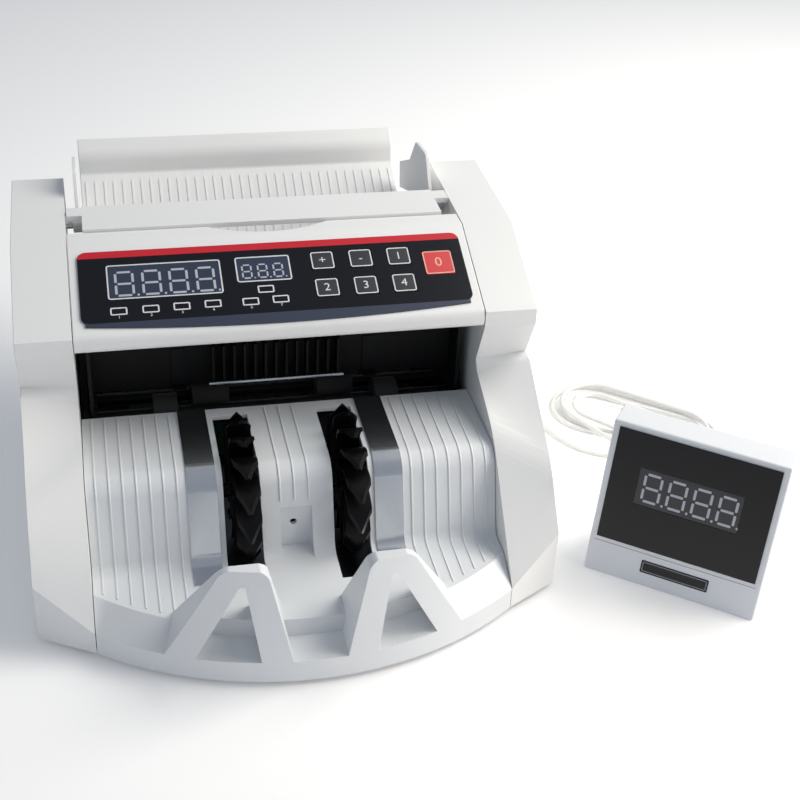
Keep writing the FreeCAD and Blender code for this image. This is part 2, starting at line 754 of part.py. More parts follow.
rocker_points = [("back_y - wall - 2", "inlet_z - switch_rise"), ("back_y + 3", "inlet_z - switch_rise"),
                 ("back_y + 0.8", "inlet_z"), ("back_y + 0.8", "inlet_z + switch_rise"),
                 ("back_y - wall - 2", "inlet_z + switch_rise")]
node(prism("rocker_switch", rocker_points, ("switch_x - switch_half", "switch_x + switch_half")))
jack_ends = ("back_y - 8", "back_y + jack_proud")
node(rod("display_jack", "jack_x", jack_ends, "jack_z", "jack_radius"))

# Front panel: flat top, slope and nose, with a window behind the overlay and a finger notch
brow_y = "(crease_y - panel_length*cos(panel_angle))"
brow_z = "(crease_height - panel_length*sin(panel_angle))"
panel_points = [("panel_rear_y", "crease_height"), ("crease_y", "crease_height"), (brow_y, brow_z),
                (brow_y, "nose_height"), (f"{brow_y} + nose_lip", "nose_height"),
                (f"{brow_y} + nose_lip", "nose_height + wall"), (f"{brow_y} + wall", "nose_height + wall"),
                (f"{brow_y} + wall", f"{brow_z} + wall*tan(panel_angle) - wall/cos(panel_angle)"),
                ("crease_y + wall*tan(panel_angle/2)", "crease_height - wall"),
                ("panel_rear_y", "crease_height - wall")]
panel_form = prism("panel_form", panel_points, body_span, rounds=[(2, "brow_round"), (3, "nose_round")])
panel_window = panel_block("panel_window", ("window_left", "window_right"), ("window_top", "window_foot"),
                           ("-wall - 1", "1"))
finger_notch = rod("finger_notch", "0", "panel_rear_y - notch_depth + notch_radius",
                   ("crease_height - wall - 1", "crease_height + 1"), "notch_radius")
node(cut("front_panel", panel_form, [panel_window, finger_notch]))
node(panel_block("panel_board", ("window_left - 4", "window_right + 3"),
                 ("window_top - 3", "window_foot + 3"),
                 ("-wall - board_gauge", "-wall")))

# Overlay sheet with openings for the displays, lamps and keys
overlay_sheet = panel_block("overlay_sheet", ("-overlay_half", "overlay_half"),
                            ("overlay_top", "overlay_foot"),
                            ("0", "overlay_gauge"))
overlay_round = labelled("Part::Fillet", "overlay_round")
overlay_round.Base = overlay_sheet
doc.recompute()
upright = []
panel_normal = Vector(0, -math.sin(math.radians(SIZES["panel_angle"])),
                      math.cos(math.radians(SIZES["panel_angle"])))
for index, edge in enumerate(overlay_sheet.Shape.Edges, start=1):
    if abs(edge.tangentAt(edge.FirstParameter).dot(panel_normal)) > 0.99:
        upright.append((index, number("overlay_corner"), number("overlay_corner")))
overlay_round.Edges = upright
openings = []
display_rise = ("-wall", "overlay_gauge - 0.1")
for name in ("count", "batch"):
    across = (f"{name}_left", f"{name}_right")
    down = (f"{name}_top", f"{name}_foot")
    node(panel_block(f"{name}_display", across, down, display_rise))
    openings.append(panel_block(f"{name}_opening", (f"{across[0]} - slip_gap", f"{across[1]} + slip_gap"),
                                (f"{down[0]} - slip_gap", f"{down[1]} + slip_gap"),
                                ("-1", "overlay_gauge + 1")))
lamps = []
for index, (x, down) in enumerate(LAMPS):
    across = (f"{x}*seam_half - lamp_width/2", f"{x}*seam_half + lamp_width/2")
    along = (f"{down} - lamp_height/2", f"{down} + lamp_height/2")
    lamps.append(panel_block(f"lamp_{index}", across, along, display_rise))
    openings.append(panel_block(f"lamp_opening_{index}",
                                (f"{across[0]} - slip_gap", f"{across[1]} + slip_gap"),
                                (f"{along[0]} - slip_gap", f"{along[1]} + slip_gap"),
                                ("-1", "overlay_gauge + 1")))
node(group("indicator_lamps", lamps))
for name, (x, row) in KEYS.items():
    kind = "restart" if name == "key_restart" else "key"
    across = (f"{x} - {kind}_width/2", f"{x} + {kind}_width/2")
    down = (f"{row} - {kind}_height/2", f"{row} + {kind}_height/2")
    node(panel_block(name, across, down, ("key_travel + 0.1 - wall", "overlay_gauge + key_proud")))
    openings.append(panel_block(f"{name}_opening", (f"{across[0]} - fit_gap", f"{across[1]} + fit_gap"),
                                (f"{down[0]} - fit_gap", f"{down[1]} + fit_gap"),
                                ("-1", "overlay_gauge + 1")))
node(cut("panel_overlay", overlay_round, openings))

# Steel frame plates, with a bearing for each turning shaft
plate_outer = "plate_inner + plate_gauge"
SHAFTS = ("stacker", "feed", "pickup", "exit")
plate_points = [("frame_front_y", pan_top), ("frame_front_y", "frame_front_top"),
                ("frame_step_y", "plate_top - wall"), ("plate_back_y + 2", "plate_top - wall"),
                ("plate_back_y + 2", "frame_top"), ("frame_rear_y", "frame_top"),
                ("hinge_y - 5", "hinge_z - 6"), ("hinge_y - 5", pan_top)]
bearings = []
for name, sign in (("left", -1), ("right", 1)):
    limits = ("plate_inner", plate_outer)
    span = limits if sign > 0 else (f"-({limits[1]})", f"-({limits[0]})")
    seat = ("plate_inner - bearing_width + plate_gauge", plate_outer)
    seat_span = seat if sign > 0 else (f"-({seat[1]})", f"-({seat[0]})")
    wide = (f"{span[0]} - 1", f"{span[1]} + 1")
    holes = []
    for shaft in SHAFTS:
        holes.append(rod(f"{name}_{shaft}_seat", wide, f"{shaft}_y", f"{shaft}_z",
                         "bearing_radius + press_gap"))
        ring = rod(f"{name}_{shaft}_ring", seat_span, f"{shaft}_y", f"{shaft}_z", "bearing_radius")
        bore = rod(f"{name}_{shaft}_bore", (f"{seat_span[0]} - 1", f"{seat_span[1]} + 1"),
                   f"{shaft}_y", f"{shaft}_z", "shaft_radius + slip_gap")
        bearings.append(cut(f"{name}_{shaft}_bearing", ring, [bore]))
    holes.append(rod(f"{name}_retard_seat", wide, "retard_y", "retard_z", "shaft_radius + press_gap"))
    if sign > 0:
        holes.append(rod("motor_seat", wide, "motor_y", "motor_z", "motor_shaft + 2"))
    node(cut(f"{name}_frame_plate", prism(f"{name}_plate_form", plate_points, span), holes))
node(group("shaft_bearings", bearings))

# Turning shafts with their pulleys and rollers
shaft_left = f"-({plate_outer} + 0.3)"
shaft_right = f"{plate_outer} + 0.3"
pulley_right = ("pulley_inner", "pulley_outer")
pulley_left = ("-pulley_outer", "-pulley_inner")


def sleeve(label, x, shaft, radius):
    """A ring on a shaft, with a bore that just passes over it."""
    outer = rod(f"{label}_form", x, f"{shaft}_y", f"{shaft}_z", radius)
    bore = rod(f"{label}_bore", (f"{x[0]} - 1", f"{x[1]} + 1"), f"{shaft}_y", f"{shaft}_z",
               "shaft_radius + press_gap")
    return cut(label, outer, [bore])


def rollers(label, shaft, middle, width, radius):
    pair = []
    for name, side in (("left", "-"), ("right", "")):
        span = (f"{side}{middle} - {width}/2", f"{side}{middle} + {width}/2")
        pair.append(sleeve(f"{label}_{name}", span, shaft, radius))
    return node(group(label, pair))


node(rod("stacker_shaft", (shaft_left, "pulley_outer"), "stacker_y", "stacker_z", "shaft_radius"))
node(sleeve("stacker_pulley", pulley_right, "stacker", "pulley_radius"))
feed_rod = rod("feed_rod", ("-pulley_outer", "pulley_outer"), "feed_y", "feed_z", "shaft_radius")
feed_wheels = [rod("feed_pulley_left", pulley_left, "feed_y", "feed_z", "pulley_radius"),
               rod("feed_pulley_right", pulley_right, "feed_y", "feed_z", "pulley_radius")]
node(join("feed_shaft", [feed_rod] + feed_wheels))
rollers("feed_rollers", "feed", "feed_x", "feed_width", "feed_radius")
for shaft in ("pickup", "exit"):
    bar = rod(f"{shaft}_rod", ("-pulley_outer", shaft_right), f"{shaft}_y", f"{shaft}_z", "shaft_radius")
    wheel = rod(f"{shaft}_pulley", pulley_left, f"{shaft}_y", f"{shaft}_z", "pulley_radius")
    node(join(f"{shaft}_shaft", [bar, wheel]))
rollers("pickup_rollers", "pickup", "feed_x", "feed_width", "pickup_radius")
rollers("exit_rollers", "exit", "exit_x", "exit_width", "exit_radius")
retard = [rod("retard_rod", (f"-({plate_outer})", plate_outer), "retard_y", "retard_z", "shaft_radius")]
for side in ("-", ""):
    span = (f"{side}feed_x - feed_width/2", f"{side}feed_x + feed_width/2")
    retard.append(rod(f"retard_tyre{side}", span, "retard_y", "retard_z", "retard_radius"))
node(join("retard_roller", retard))


def stacker_wheel(label, middle):
    """A hub with curved fins that trail like the arms of a spiral, each with a pointed tip."""
    width = number("wheel_width")
    start = number(f"{middle} + wheel_shift") - width / 2
    centre = Vector(start, number("stacker_y"), number("stacker_z"))
    across = Vector(1, 0, 0)
    orbit = number("fin_orbit")
    curve = number("fin_curve")
    half = number("fin_gauge") / 2

    def bend_angle(reach):
        return math.acos((reach ** 2 - orbit ** 2 - curve ** 2) / (2 * orbit * curve))

    tip = bend_angle(number("wheel_radius") - half / 2)
    root = bend_angle(number("wheel_hub") - 2)

    def fin_point(radius, angle):
        return centre + Vector(0, orbit + radius * math.cos(angle), -radius * math.sin(angle))

    middle_angle = (tip + root) / 2
    outer = Part.Arc(*[fin_point(curve + half, a) for a in (tip, middle_angle, root)]).toShape()
    inner = Part.Arc(*[fin_point(curve - half, a) for a in (root, middle_angle, tip)]).toShape()
    close_root = Part.makeLine(fin_point(curve + half, root), fin_point(curve - half, root))
    close_tip = Part.makeLine(fin_point(curve - half, tip), fin_point(curve + half, tip))
    fin = Part.Face(Part.Wire([outer, close_root, inner, close_tip])).extrude(across * width)
    hub = Part.makeCylinder(number("wheel_hub"), width, centre, across)
    fins = []
    for index in range(FIN_COUNT):
        arm = fin.copy()
        arm.rotate(centre, across, 360.0 * index / FIN_COUNT)
        fins.append(arm)
    tip_radius = number("wheel_radius")
    shoulder = number("wheel_shoulder")
    ridge = centre + across * (width / 2)
    rim = Part.makeCone(shoulder, tip_radius, width / 2, centre, across)
    rim = rim.fuse(Part.makeCone(tip_radius, shoulder, width / 2, ridge, across))
    bore = Part.makeCylinder(number("shaft_radius + press_gap"), width + 2, centre - across, across)
    return node(shaped(label, hub.fuse(fins).common(rim).cut(bore)))


FIN_COUNT = 14
stacker_wheel("left_stacker_wheel", "-slot_middle")
stacker_wheel("right_stacker_wheel", "slot_middle")

# Motor against the right frame plate, with its shaft and pulley
motor_can = rod("motor_can", ("plate_inner - motor_length", "plate_inner"), "motor_y", "motor_z",
                "motor_radius")
motor_bore = rod("motor_bore", ("plate_inner - 12", "plate_inner + 1"), "motor_y", "motor_z",
                 "motor_shaft + slip_gap")
node(cut("drive_motor", motor_can, [motor_bore]))
motor_rod = rod("motor_rod", ("plate_inner - 11", "pulley_outer"), "motor_y", "motor_z", "motor_shaft")
motor_wheel = rod("motor_wheel", pulley_right, "motor_y", "motor_z", "pulley_radius")
node(join("motor_pulley", [motor_rod, motor_wheel]))


def belt(label, shafts, x):
    """A belt round equal pulleys, listed counter-clockwise as seen from the right."""
    low = number(f"{x[0]} + belt_margin")
    high = number(f"{x[1]} - belt_margin")
    corners = [Vector(low, number(f"{name}_y"), number(f"{name}_z")) for name in shafts]
    core = Part.Face(Part.makePolygon(corners + corners[:1]))
    inside = core.makeOffset2D(number("pulley_radius + fit_gap"))
    outside = core.makeOffset2D(number("pulley_radius + fit_gap + belt_gauge"))
    return node(shaped(label, outside.cut(inside).extrude(Vector(high - low, 0, 0))))


belt("drive_belt", ("motor", "feed", "stacker"), pulley_right)
belt("transport_belt", ("feed", "pickup", "exit"), pulley_left)

# Opening above the tray: black guide with a comb, a guard rod and two spring tabs
guide_sheet = block("guide_sheet", ("-plate_inner", "plate_inner"),
                    ("guide_front_y", "guide_front_y + guide_gauge"),
                    ("guide_foot", "guide_top"))
COMB_FINS = 13
combs = []
for index in range(COMB_FINS):
    x = f"comb_half*{2.0 * index / (COMB_FINS - 1) - 1:.4f}"
    combs.append(block(f"comb_{index}", (f"{x} - comb_gauge/2", f"{x} + comb_gauge/2"),
                       ("guide_front_y - comb_reach", "guide_front_y + guide_gauge/2"),
                       ("comb_foot", "comb_top")))
node(join("exit_guide", [guide_sheet] + combs))
node(rod("guard_rod", ("-comb_half - 3", "comb_half + 3"),
         "guide_front_y - comb_reach - rod_radius - slip_gap",
         "rod_height", "rod_radius"))
tabs = []
for side in ("-", ""):
    span = (f"{side}tab_x - tab_width/2", f"{side}tab_x + tab_width/2")
    strip = block(f"tab_strip{side}", span, ("guide_front_y - tab_gauge", "guide_front_y"),
                  ("tab_foot", "tab_top"))
    toe = block(f"tab_toe{side}", span, ("guide_front_y - tab_toe", "guide_front_y"),
                ("tab_foot - tab_gauge", "tab_foot"))
    tabs.append(join(f"tab{side}", [strip, toe]))
node(group("spring_tabs", tabs))

# Hopper plate that slopes down to the feed rollers
hopper_sheet = hopper_block("hopper_sheet", ("-plate_inner", "plate_inner"), ("-hopper_far", "-hopper_near"),
                            ("-hopper_gauge/2", "hopper_gauge/2"))
pickup_along = "((pickup_y - hinge_y)*cos(tray_angle) + (pickup_z - hinge_z)*sin(tray_angle))"
hopper_slots = []
for side in ("-", ""):
    hopper_slots.append(hopper_block(f"hopper_slot{side}",
                                     (f"{side}feed_x - feed_width/2 - 2", f"{side}feed_x + feed_width/2 + 2"),
                                     (f"{pickup_along} - hopper_slot", f"{pickup_along} + hopper_slot"),
                                     ("-5", "5")))
node(cut("hopper_plate", hopper_sheet, hopper_slots))

# Bill guides that slide along a rail across the hopper
node(rod("guide_rail", ("-seam_half", "seam_half"), "rail_y", "rail_z", "rail_radius"))
guide_points = [("rail_y", "rail_z - 5"), ("rail_y", "rail_z + 4")] + GUIDE_CORNERS
for name, sign in (("left", -1), ("right", 1)):
    limits = ("guide_inner", "guide_outer")
    span = limits if sign > 0 else ("-guide_outer", "-guide_inner")
    hub_limits = ("guide_inner - 3", "guide_outer + 2")
    hub_span = hub_limits if sign > 0 else (f"-({hub_limits[1]})", f"-({hub_limits[0]})")
    blade = prism(f"{name}_guide_blade", guide_points, span, rounds=[(3, "guide_round"), (4, "guide_round")])
    hub = rod(f"{name}_guide_hub", hub_span, "rail_y", "rail_z", "hub_radius")
    bore = rod(f"{name}_guide_bore", (f"{hub_span[0]} - 1", f"{hub_span[1]} + 1"), "rail_y", "rail_z",
               "rail_radius + slip_gap")
    node(cut(f"{name}_bill_guide", join(f"{name}_guide_form", [blade, hub]), [bore]))

# Rear tray on its hinge pins, with a rolled lip along its far edge
tray_points = [("0", "-tray_gauge/2"), ("tray_length + 1.2", "-tray_gauge/2"),
               ("tray_length + lip_run + 1.4", "lip_rise - 1"),
               ("tray_length + lip_run + roll_run + 0.5", "lip_rise + roll_rise - tray_gauge + 1.2"),
               ("tray_length + lip_run + roll_run", "lip_rise + roll_rise + tray_gauge/2"),
               ("tray_length + lip_run", "lip_rise + tray_gauge/2"), ("tray_length", "tray_gauge/2"),
               ("0", "tray_gauge/2")]
leaf = prism("tray_leaf", tray_points, ("-tray_half", "tray_half"),
             rounds=[(4, "roll_edge"), (5, "roll_radius"), (6, "lip_round")])
place(leaf, "0", "hinge_y", "hinge_z", (1, 0, 0), "tray_angle")
barrel = rod("tray_barrel", ("-tray_half", "tray_half"), "hinge_y", "hinge_z", "barrel_radius")
pins = rod("tray_pins", ("-seam_half - pin_depth", "seam_half + pin_depth"), "hinge_y", "hinge_z",
           "pin_radius")
node(join("rear_tray", [leaf, barrel, pins]))

# Top flap in front of the hopper, on stub pins in the side covers
flap_sheet = block("flap_sheet", ("-flap_half", "flap_half"), ("flap_front_y", "flap_rear_y"),
                   ("flap_top - flap_gauge", "flap_top"))
flap_pieces = [flap_sheet]
for side in ("-", ""):
    ends = ("flap_half - 1", "seam_half - 0.8")
    lug = ends if side == "" else (f"-({ends[1]})", f"-({ends[0]})")
    flap_pieces.append(block(f"flap_lug{side}", lug, ("flap_hinge_y - lug_front", "flap_hinge_y + lug_rear"),
                             ("flap_top - flap_gauge", "flap_top")))
flap_pieces.append(rod("flap_pins", ("-seam_half - pin_depth", "seam_half + pin_depth"), "flap_hinge_y",
                       flap_pin_z, "flap_pin"))
node(join("top_flap", flap_pieces))

# Main board on pillars from the base pan
main_board = [block("main_sheet", ("main_left", "main_right"), ("main_front_y", "main_rear_y"),
                    (f"{pan_top} + main_rise", f"{pan_top} + main_rise + board_gauge"))]
for column, x in (("left", "main_left + pillar_inset"), ("right", "main_right - pillar_inset")):
    for end, y in (("front", "main_front_y + pillar_inset"), ("rear", "main_rear_y - pillar_inset")):
        main_board.append(rod(f"pillar_{column}_{end}", x, y, (pan_top, f"{pan_top} + main_rise + 0.5"),
                              "pillar_radius"))
main_board.append(block("board_parts", ("main_left + 12", "main_left + 40"),
                        ("main_front_y + 14", "main_rear_y - 14"),
                        (f"{pan_top} + main_rise + 1", f"{pan_top} + main_rise + 24")))
node(join("main_board", main_board))


# Remote display: a wedge housing with a leaning front, standing turned on the table
def at_display(body):
    return place(body, "display_x", "display_y", "0", (0, 0, 1), "-display_turn")


def on_face(up, out):
    """A point of the display's section, up its leaning face and out from it."""
    return (f"({up})*sin(display_lean) - ({out})*cos(display_lean)",
            f"({up})*cos(display_lean) + ({out})*sin(display_lean)")


def on_display(label, points, span):
    return at_display(prism(label, points, span))


lean_run = "display_height*tan(display_lean)"
housing_points = [("0", "0"), (lean_run, "display_height"),
                  (f"{lean_run} + display_top_depth", "display_height"),
                  ("display_base_depth", "0")]
cavity_points = [("wall", "-1"),
                 ("wall + (display_height - wall)*tan(display_lean)", "display_height - wall"),
                 (f"{lean_run} + display_top_depth - wall", "display_height - wall"),
                 ("display_base_depth - wall", "-1")]
housing_form = on_display("housing_form", housing_points, ("0", "display_width"))
housing_cavity = on_display("housing_cavity", cavity_points, ("wall", "display_width - wall"))
gland_middle = "display_width/2"
gland_x = (f"{gland_middle} - gland_half", f"{gland_middle} + gland_half")
gland_ends = ("display_base_depth - 2*wall", "display_base_depth + gland_length")


def gland_outline(ends, gap):
    low = f"gland_z - gland_half - {gap}"
    high = f"gland_z + gland_half + {gap}"
    return [(ends[0], low), (ends[1], low), (ends[1], high), (ends[0], high)]


gland_hole = on_display("gland_hole", gland_outline(gland_ends, "press_gap"),
                        (f"{gland_x[0]} - press_gap", f"{gland_x[1]} + press_gap"))
node(cut("display_housing", housing_form, [housing_cavity, gland_hole]))
node(on_display("display_gland", gland_outline(gland_ends, "0"), gland_x))
screen_points = [on_face("screen_foot", "0"), on_face("screen_foot", "screen_gauge"),
                 on_face("screen_top", "screen_gauge"), on_face("screen_top", "0")]
screen_sheet = on_display("screen_sheet", screen_points, ("screen_margin", "display_width - screen_margin"))


def digit_outline(gap, out):
    return [on_face(f"digits_foot - {gap}", "0" if gap == "0" else "-1"),
            on_face(f"digits_foot - {gap}", out),
            on_face(f"digits_top + {gap}", out), on_face(f"digits_top + {gap}", "0" if gap == "0" else "-1")]


digit_hole = on_display("digit_hole", digit_outline("slip_gap", "screen_gauge + 1"),
                        ("digits_left - slip_gap", "digits_right + slip_gap"))
node(cut("display_screen", screen_sheet, [digit_hole]))
node(on_display("display_digits", digit_outline("0", "screen_gauge - 0.1"), ("digits_left", "digits_right")))


# Cord: a plug at the machine's jack, a lead over the table, a loose hank, and a tail to the display
node(rod("cord_plug", "jack_x", ("back_y + jack_proud", "back_y + jack_proud + plug_length"), "jack_z",
         "plug_radius"))

CORD_Z = number("cord_radius")
UPPER_Z = number("cord_radius + layer_step")


def tube(label, edges, spine_length):
    """A round tube along a chain of tangent edges, with its volume compared with its length."""
    wire = Part.Wire(edges)
    start = edges[0].valueAt(edges[0].FirstParameter)
    heading = edges[0].tangentAt(edges[0].FirstParameter)
    profile = Part.Wire([Part.makeCircle(number("cord_radius"), start, heading)])
    solid = wire.makePipeShell([profile], True, False)
    section = math.pi * number("cord_radius") ** 2
    print(label, "length", round(spine_length, 1), "volume ratio",
          round(solid.Volume / (section * spine_length), 4))
    return node(shaped(label, solid))


def run_edges(points):
    """Straight runs joined by tangent arcs, and the least radius among the arcs."""
    edges = []
    radii = []
    last = points[0]
    for i in range(1, len(points) - 1):
        before = points[i - 1] - points[i]
        after = points[i + 1] - points[i]
        turn = math.pi - before.getAngle(after)
        radius = 0.45 * min(before.Length, after.Length) / math.tan(turn / 2)
        radii.append(radius)
        reach = 0.45 * min(before.Length, after.Length)
        enter = points[i] + before.normalize() * reach
        leave = points[i] + after.normalize() * reach
        inward = (before + after).normalize()
        centre = points[i] + inward * (radius / math.cos(turn / 2))
        crown = centre - inward * radius
        if (enter - last).Length > 0.001:
            edges.append(Part.makeLine(last, enter))
        edges.append(Part.Arc(enter, crown, leave).toShape())
        last = leave
    edges.append(Part.makeLine(last, points[-1]))
    print("least bend radius", round(min(radii), 1))
    return edges


# Ends of the hank's loops: centre, and the radius of the cord's middle line there
HANK_TURNS = [
    ((276.0, 21.0), 29.0), ((230.0, 60.0), 28.0),
    ((274.5, 23.5), 22.0), ((228.5, 57.5), 20.0),
    ((271.5, 23.0), 16.0), ((231.5, 57.0), 15.5),
    ((274.0, 24.0), 25.0), ((233.0, 60.0), 24.5),
]
HANK_CLIMB = 5


def hank_edges(start, finish):
    """Loops of tangent lines and arcs, spiralling in on the table and out again one layer up."""
    circles = [(Vector(x, y, 0), radius) for (x, y), radius in HANK_TURNS]
    stops = [(start, 0.0)] + circles + [(finish, 0.0)]
    touches = []
    for (first, first_radius), (second, second_radius) in zip(stops, stops[1:]):
        along = second - first
        distance = along.Length
        along.normalize()
        right = Vector(along.y, -along.x, 0)
        share = (first_radius - second_radius) / distance
        out = along * share + right * math.sqrt(1 - share ** 2)
        touches.append((first + out * first_radius, second + out * second_radius, out))
    edges = []
    for i, (leave, arrive, out) in enumerate(touches):
        low = CORD_Z if i <= HANK_CLIMB else UPPER_Z
        high = CORD_Z if i < HANK_CLIMB else UPPER_Z
        begin = Vector(leave.x, leave.y, low)
        end = Vector(arrive.x, arrive.y, high)
        if i == HANK_CLIMB:
            edges.extend(climb_edges(begin, end))
        else:
            edges.append(Part.makeLine(begin, end))
        if i < len(touches) - 1:
            centre, radius = circles[i]
            first_angle = math.atan2(out.y, out.x)
            following = touches[i + 1][2]
            sweep = (math.atan2(following.y, following.x) - first_angle) % (2 * math.pi)
            marks = []
            for step in (0.0, 0.25, 0.5, 0.75, 1.0):
                angle = first_angle + sweep * step
                marks.append(Vector(centre.x + radius * math.cos(angle),
                                    centre.y + radius * math.sin(angle), high))
            edges.append(Part.Arc(*marks[:3]).toShape())
            edges.append(Part.Arc(*marks[2:]).toShape())
    return edges


def climb_edges(begin, end):
    """An S of two arcs that rises from one layer to the next, level at both ends."""
    rise = end.z - begin.z
    level = Vector(end.x - begin.x, end.y - begin.y, 0)
    reach = level.Length
    level.normalize()
    radius = (reach ** 2 + rise ** 2) / (4 * rise)
    half_turn = math.asin(reach / 2 / radius) / 2
    middle = (begin + end) * 0.5
    lift = radius * (1 - math.cos(half_turn))
    first = begin + level * (radius * math.sin(half_turn)) + Vector(0, 0, lift)
    second = end - level * (radius * math.sin(half_turn)) - Vector(0, 0, lift)
    return [Part.Arc(begin, first, middle).toShape(), Part.Arc(middle, second, end).toShape()]


def least_gap(edges):
    """The least clear distance between stretches of the tube that aren't neighbours along it."""
    points = []
    travelled = 0.0
    for edge in edges:
        count = max(2, int(edge.Length / 2))
        for i in range(count):
            spot = edge.getParameterByLength(edge.Length * i / count)
            points.append((travelled + edge.Length * i / count, edge.valueAt(spot)))
        travelled += edge.Length
    least = 1e9
    for i, (here, first) in enumerate(points):
        for there, second in points[i + 1:]:
            if there - here > 40:
                least = min(least, (first - second).Length)
    return least - 2 * number("cord_radius")


hank_start = Vector(240.0, -1.0, 0)
hank_finish = Vector(247.0, -20.0, 0)
loops = hank_edges(hank_start, hank_finish)
tube("cord_hank", loops, sum(edge.Length for edge in loops))
print("least gap in the hank", round(least_gap(loops), 2))
hank_in = loops[0].valueAt(loops[0].FirstParameter)
hank_in_heading = loops[0].tangentAt(loops[0].FirstParameter)
hank_out = loops[-1].valueAt(loops[-1].LastParameter)
hank_out_heading = loops[-1].tangentAt(loops[-1].LastParameter)
plug_end = Vector(number("jack_x"), number("back_y + jack_proud + plug_length"), number("jack_z"))
lead_points = [plug_end, plug_end + Vector(0, 22, 0), Vector(92, 183, 11), Vector(116, 200, CORD_Z),
               Vector(152, 196, CORD_Z), Vector(178, 168, CORD_Z), Vector(187, 128, CORD_Z),
               Vector(184, 88, CORD_Z), Vector(187, 52, CORD_Z), Vector(197, 22, CORD_Z),
               hank_in - hank_in_heading * 22, hank_in]
lead = run_edges(lead_points)
tube("cord_lead", lead, sum(edge.Length for edge in lead))
turn = math.radians(-number("display_turn"))
display_depth = Vector(-math.sin(turn), math.cos(turn), 0)
display_width = Vector(math.cos(turn), math.sin(turn), 0)
display_corner = Vector(number("display_x"), number("display_y"), 0)
gland_end = (display_corner + display_width * number("display_width/2")
             + display_depth * number("display_base_depth + gland_length") + Vector(0, 0, number("gland_z")))
tail_points = [hank_out, hank_out + hank_out_heading * 15, Vector(261, -54, 9),
               gland_end + display_depth * 16, gland_end]
tail = run_edges(tail_points)
tube("cord_tail", tail, sum(edge.Length for edge in tail))

doc.recompute()
os.makedirs("parts", exist_ok=True)
bad = []
for obj in doc.Objects:
    if "Invalid" in obj.State or "Error" in obj.State:
        bad.append(f"{obj.Label}: {obj.State}")
for label in NODES:
    shape = doc.getObjectsByLabel(label)[0].Shape
    if shape.isNull() or not shape.isValid() or not shape.Solids:
        bad.append(f"{label}: shape not good")
        continue
    shape.exportStep(f"parts/{label}.step")
print(len(NODES), "pieces")
if bad:
    raise RuntimeError("; ".join(bad))
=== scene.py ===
import math

import bpy
from mathutils import Matrix, Vector


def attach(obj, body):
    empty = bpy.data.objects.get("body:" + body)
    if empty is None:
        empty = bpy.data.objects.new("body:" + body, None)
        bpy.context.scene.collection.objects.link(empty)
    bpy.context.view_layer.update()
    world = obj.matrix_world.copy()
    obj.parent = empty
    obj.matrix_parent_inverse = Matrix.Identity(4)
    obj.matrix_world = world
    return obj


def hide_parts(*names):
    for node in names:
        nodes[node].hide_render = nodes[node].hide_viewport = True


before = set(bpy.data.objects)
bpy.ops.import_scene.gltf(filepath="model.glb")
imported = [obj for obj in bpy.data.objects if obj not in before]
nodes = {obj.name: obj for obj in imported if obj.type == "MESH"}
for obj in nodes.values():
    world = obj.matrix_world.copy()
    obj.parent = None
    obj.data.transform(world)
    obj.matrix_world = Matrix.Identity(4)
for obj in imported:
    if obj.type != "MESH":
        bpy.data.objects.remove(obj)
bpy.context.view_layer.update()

# The machine's middle plane and table point in the frame, in metres
MIDDLE = Vector((-0.065981, -0.010609, 0.0))


def mm(x, y, z):
    """A point of the machine in millimetres as a point of the frame."""
    return MIDDLE + Vector((x, y, z)) / 1000


# Camera, where the photograph was taken from
AZIMUTH = math.radians(-13.99)
ELEVATION = math.radians(32.99)
ROLL = math.radians(3.17)
DISTANCE = 0.8345
target = mm(71.6, -20.8, 75.5)
back = Vector((math.sin(AZIMUTH) * math.cos(ELEVATION), -math.cos(AZIMUTH) * math.cos(ELEVATION),
               math.sin(ELEVATION)))
level = (-back).cross(Vector((0, 0, 1))).normalized()
upward = level.cross(-back)
right = math.cos(ROLL) * level + math.sin(ROLL) * upward
above = -math.sin(ROLL) * level + math.cos(ROLL) * upward
stand = target + back * DISTANCE
bpy.ops.object.camera_add(location=stand)
camera = bpy.context.object
camera.matrix_world = Matrix.Translation(stand) @ Matrix((right, above, back)).transposed().to_4x4()
camera.data.lens = 62.8
camera.data.sensor_width = 36.0
bpy.context.scene.camera = camera

# Cord: from the plug behind the machine, round its corner, through the loose loops, to the remote display.
# It lies on the floor at the height of its own radius, and its upper loops lie on the lower ones.
CORD_RADIUS = 1.5
CORD_Z = CORD_RADIUS
UPPER_Z = 5.2
LEAD = [(85, 133, 28), (85, 155, 28), (92, 183, 11), (116, 198.6, CORD_Z), (152, 196, CORD_Z),
        (178, 168, CORD_Z), (187, 128, CORD_Z), (184, 88, CORD_Z), (187, 52, CORD_Z), (197, 22, CORD_Z)]
# Centre and radius of each round end of the loops, in the order that the cord runs
LOOPS = [(276.0, 21.0, 29.0), (230.0, 60.0, 28.0), (274.5, 23.5, 22.0), (228.5, 57.5, 20.0),
         (271.5, 23.0, 16.0), (231.5, 57.0, 15.5), (274.0, 24.0, 25.0), (233.0, 60.0, 24.5)]
CLIMB = 5
ROUND_STEPS = 9
HANK_IN = (240.0, -1.0)
HANK_OUT = (247.0, -20.0)
STRAIGHT_IN, STRAIGHT_OUT, STRAIGHT_GLAND = 22, 15, 16
TAIL_BEND = Vector((261, -54, 9))
# Remote display: how far it is turned, its front left corner, its own ways, and the end of its cord gland
TURN = math.radians(37.4)
DISPLAY_CORNER = Vector((169.1, -101.5, 0))
DISPLAY_ACROSS = Vector((math.cos(TURN), -math.sin(TURN), 0))
DISPLAY_DEPTH = Vector((math.sin(TURN), math.cos(TURN), 0))
GLAND_END = DISPLAY_CORNER + DISPLAY_ACROSS * 51 + DISPLAY_DEPTH * 54 + Vector((0, 0, 14))


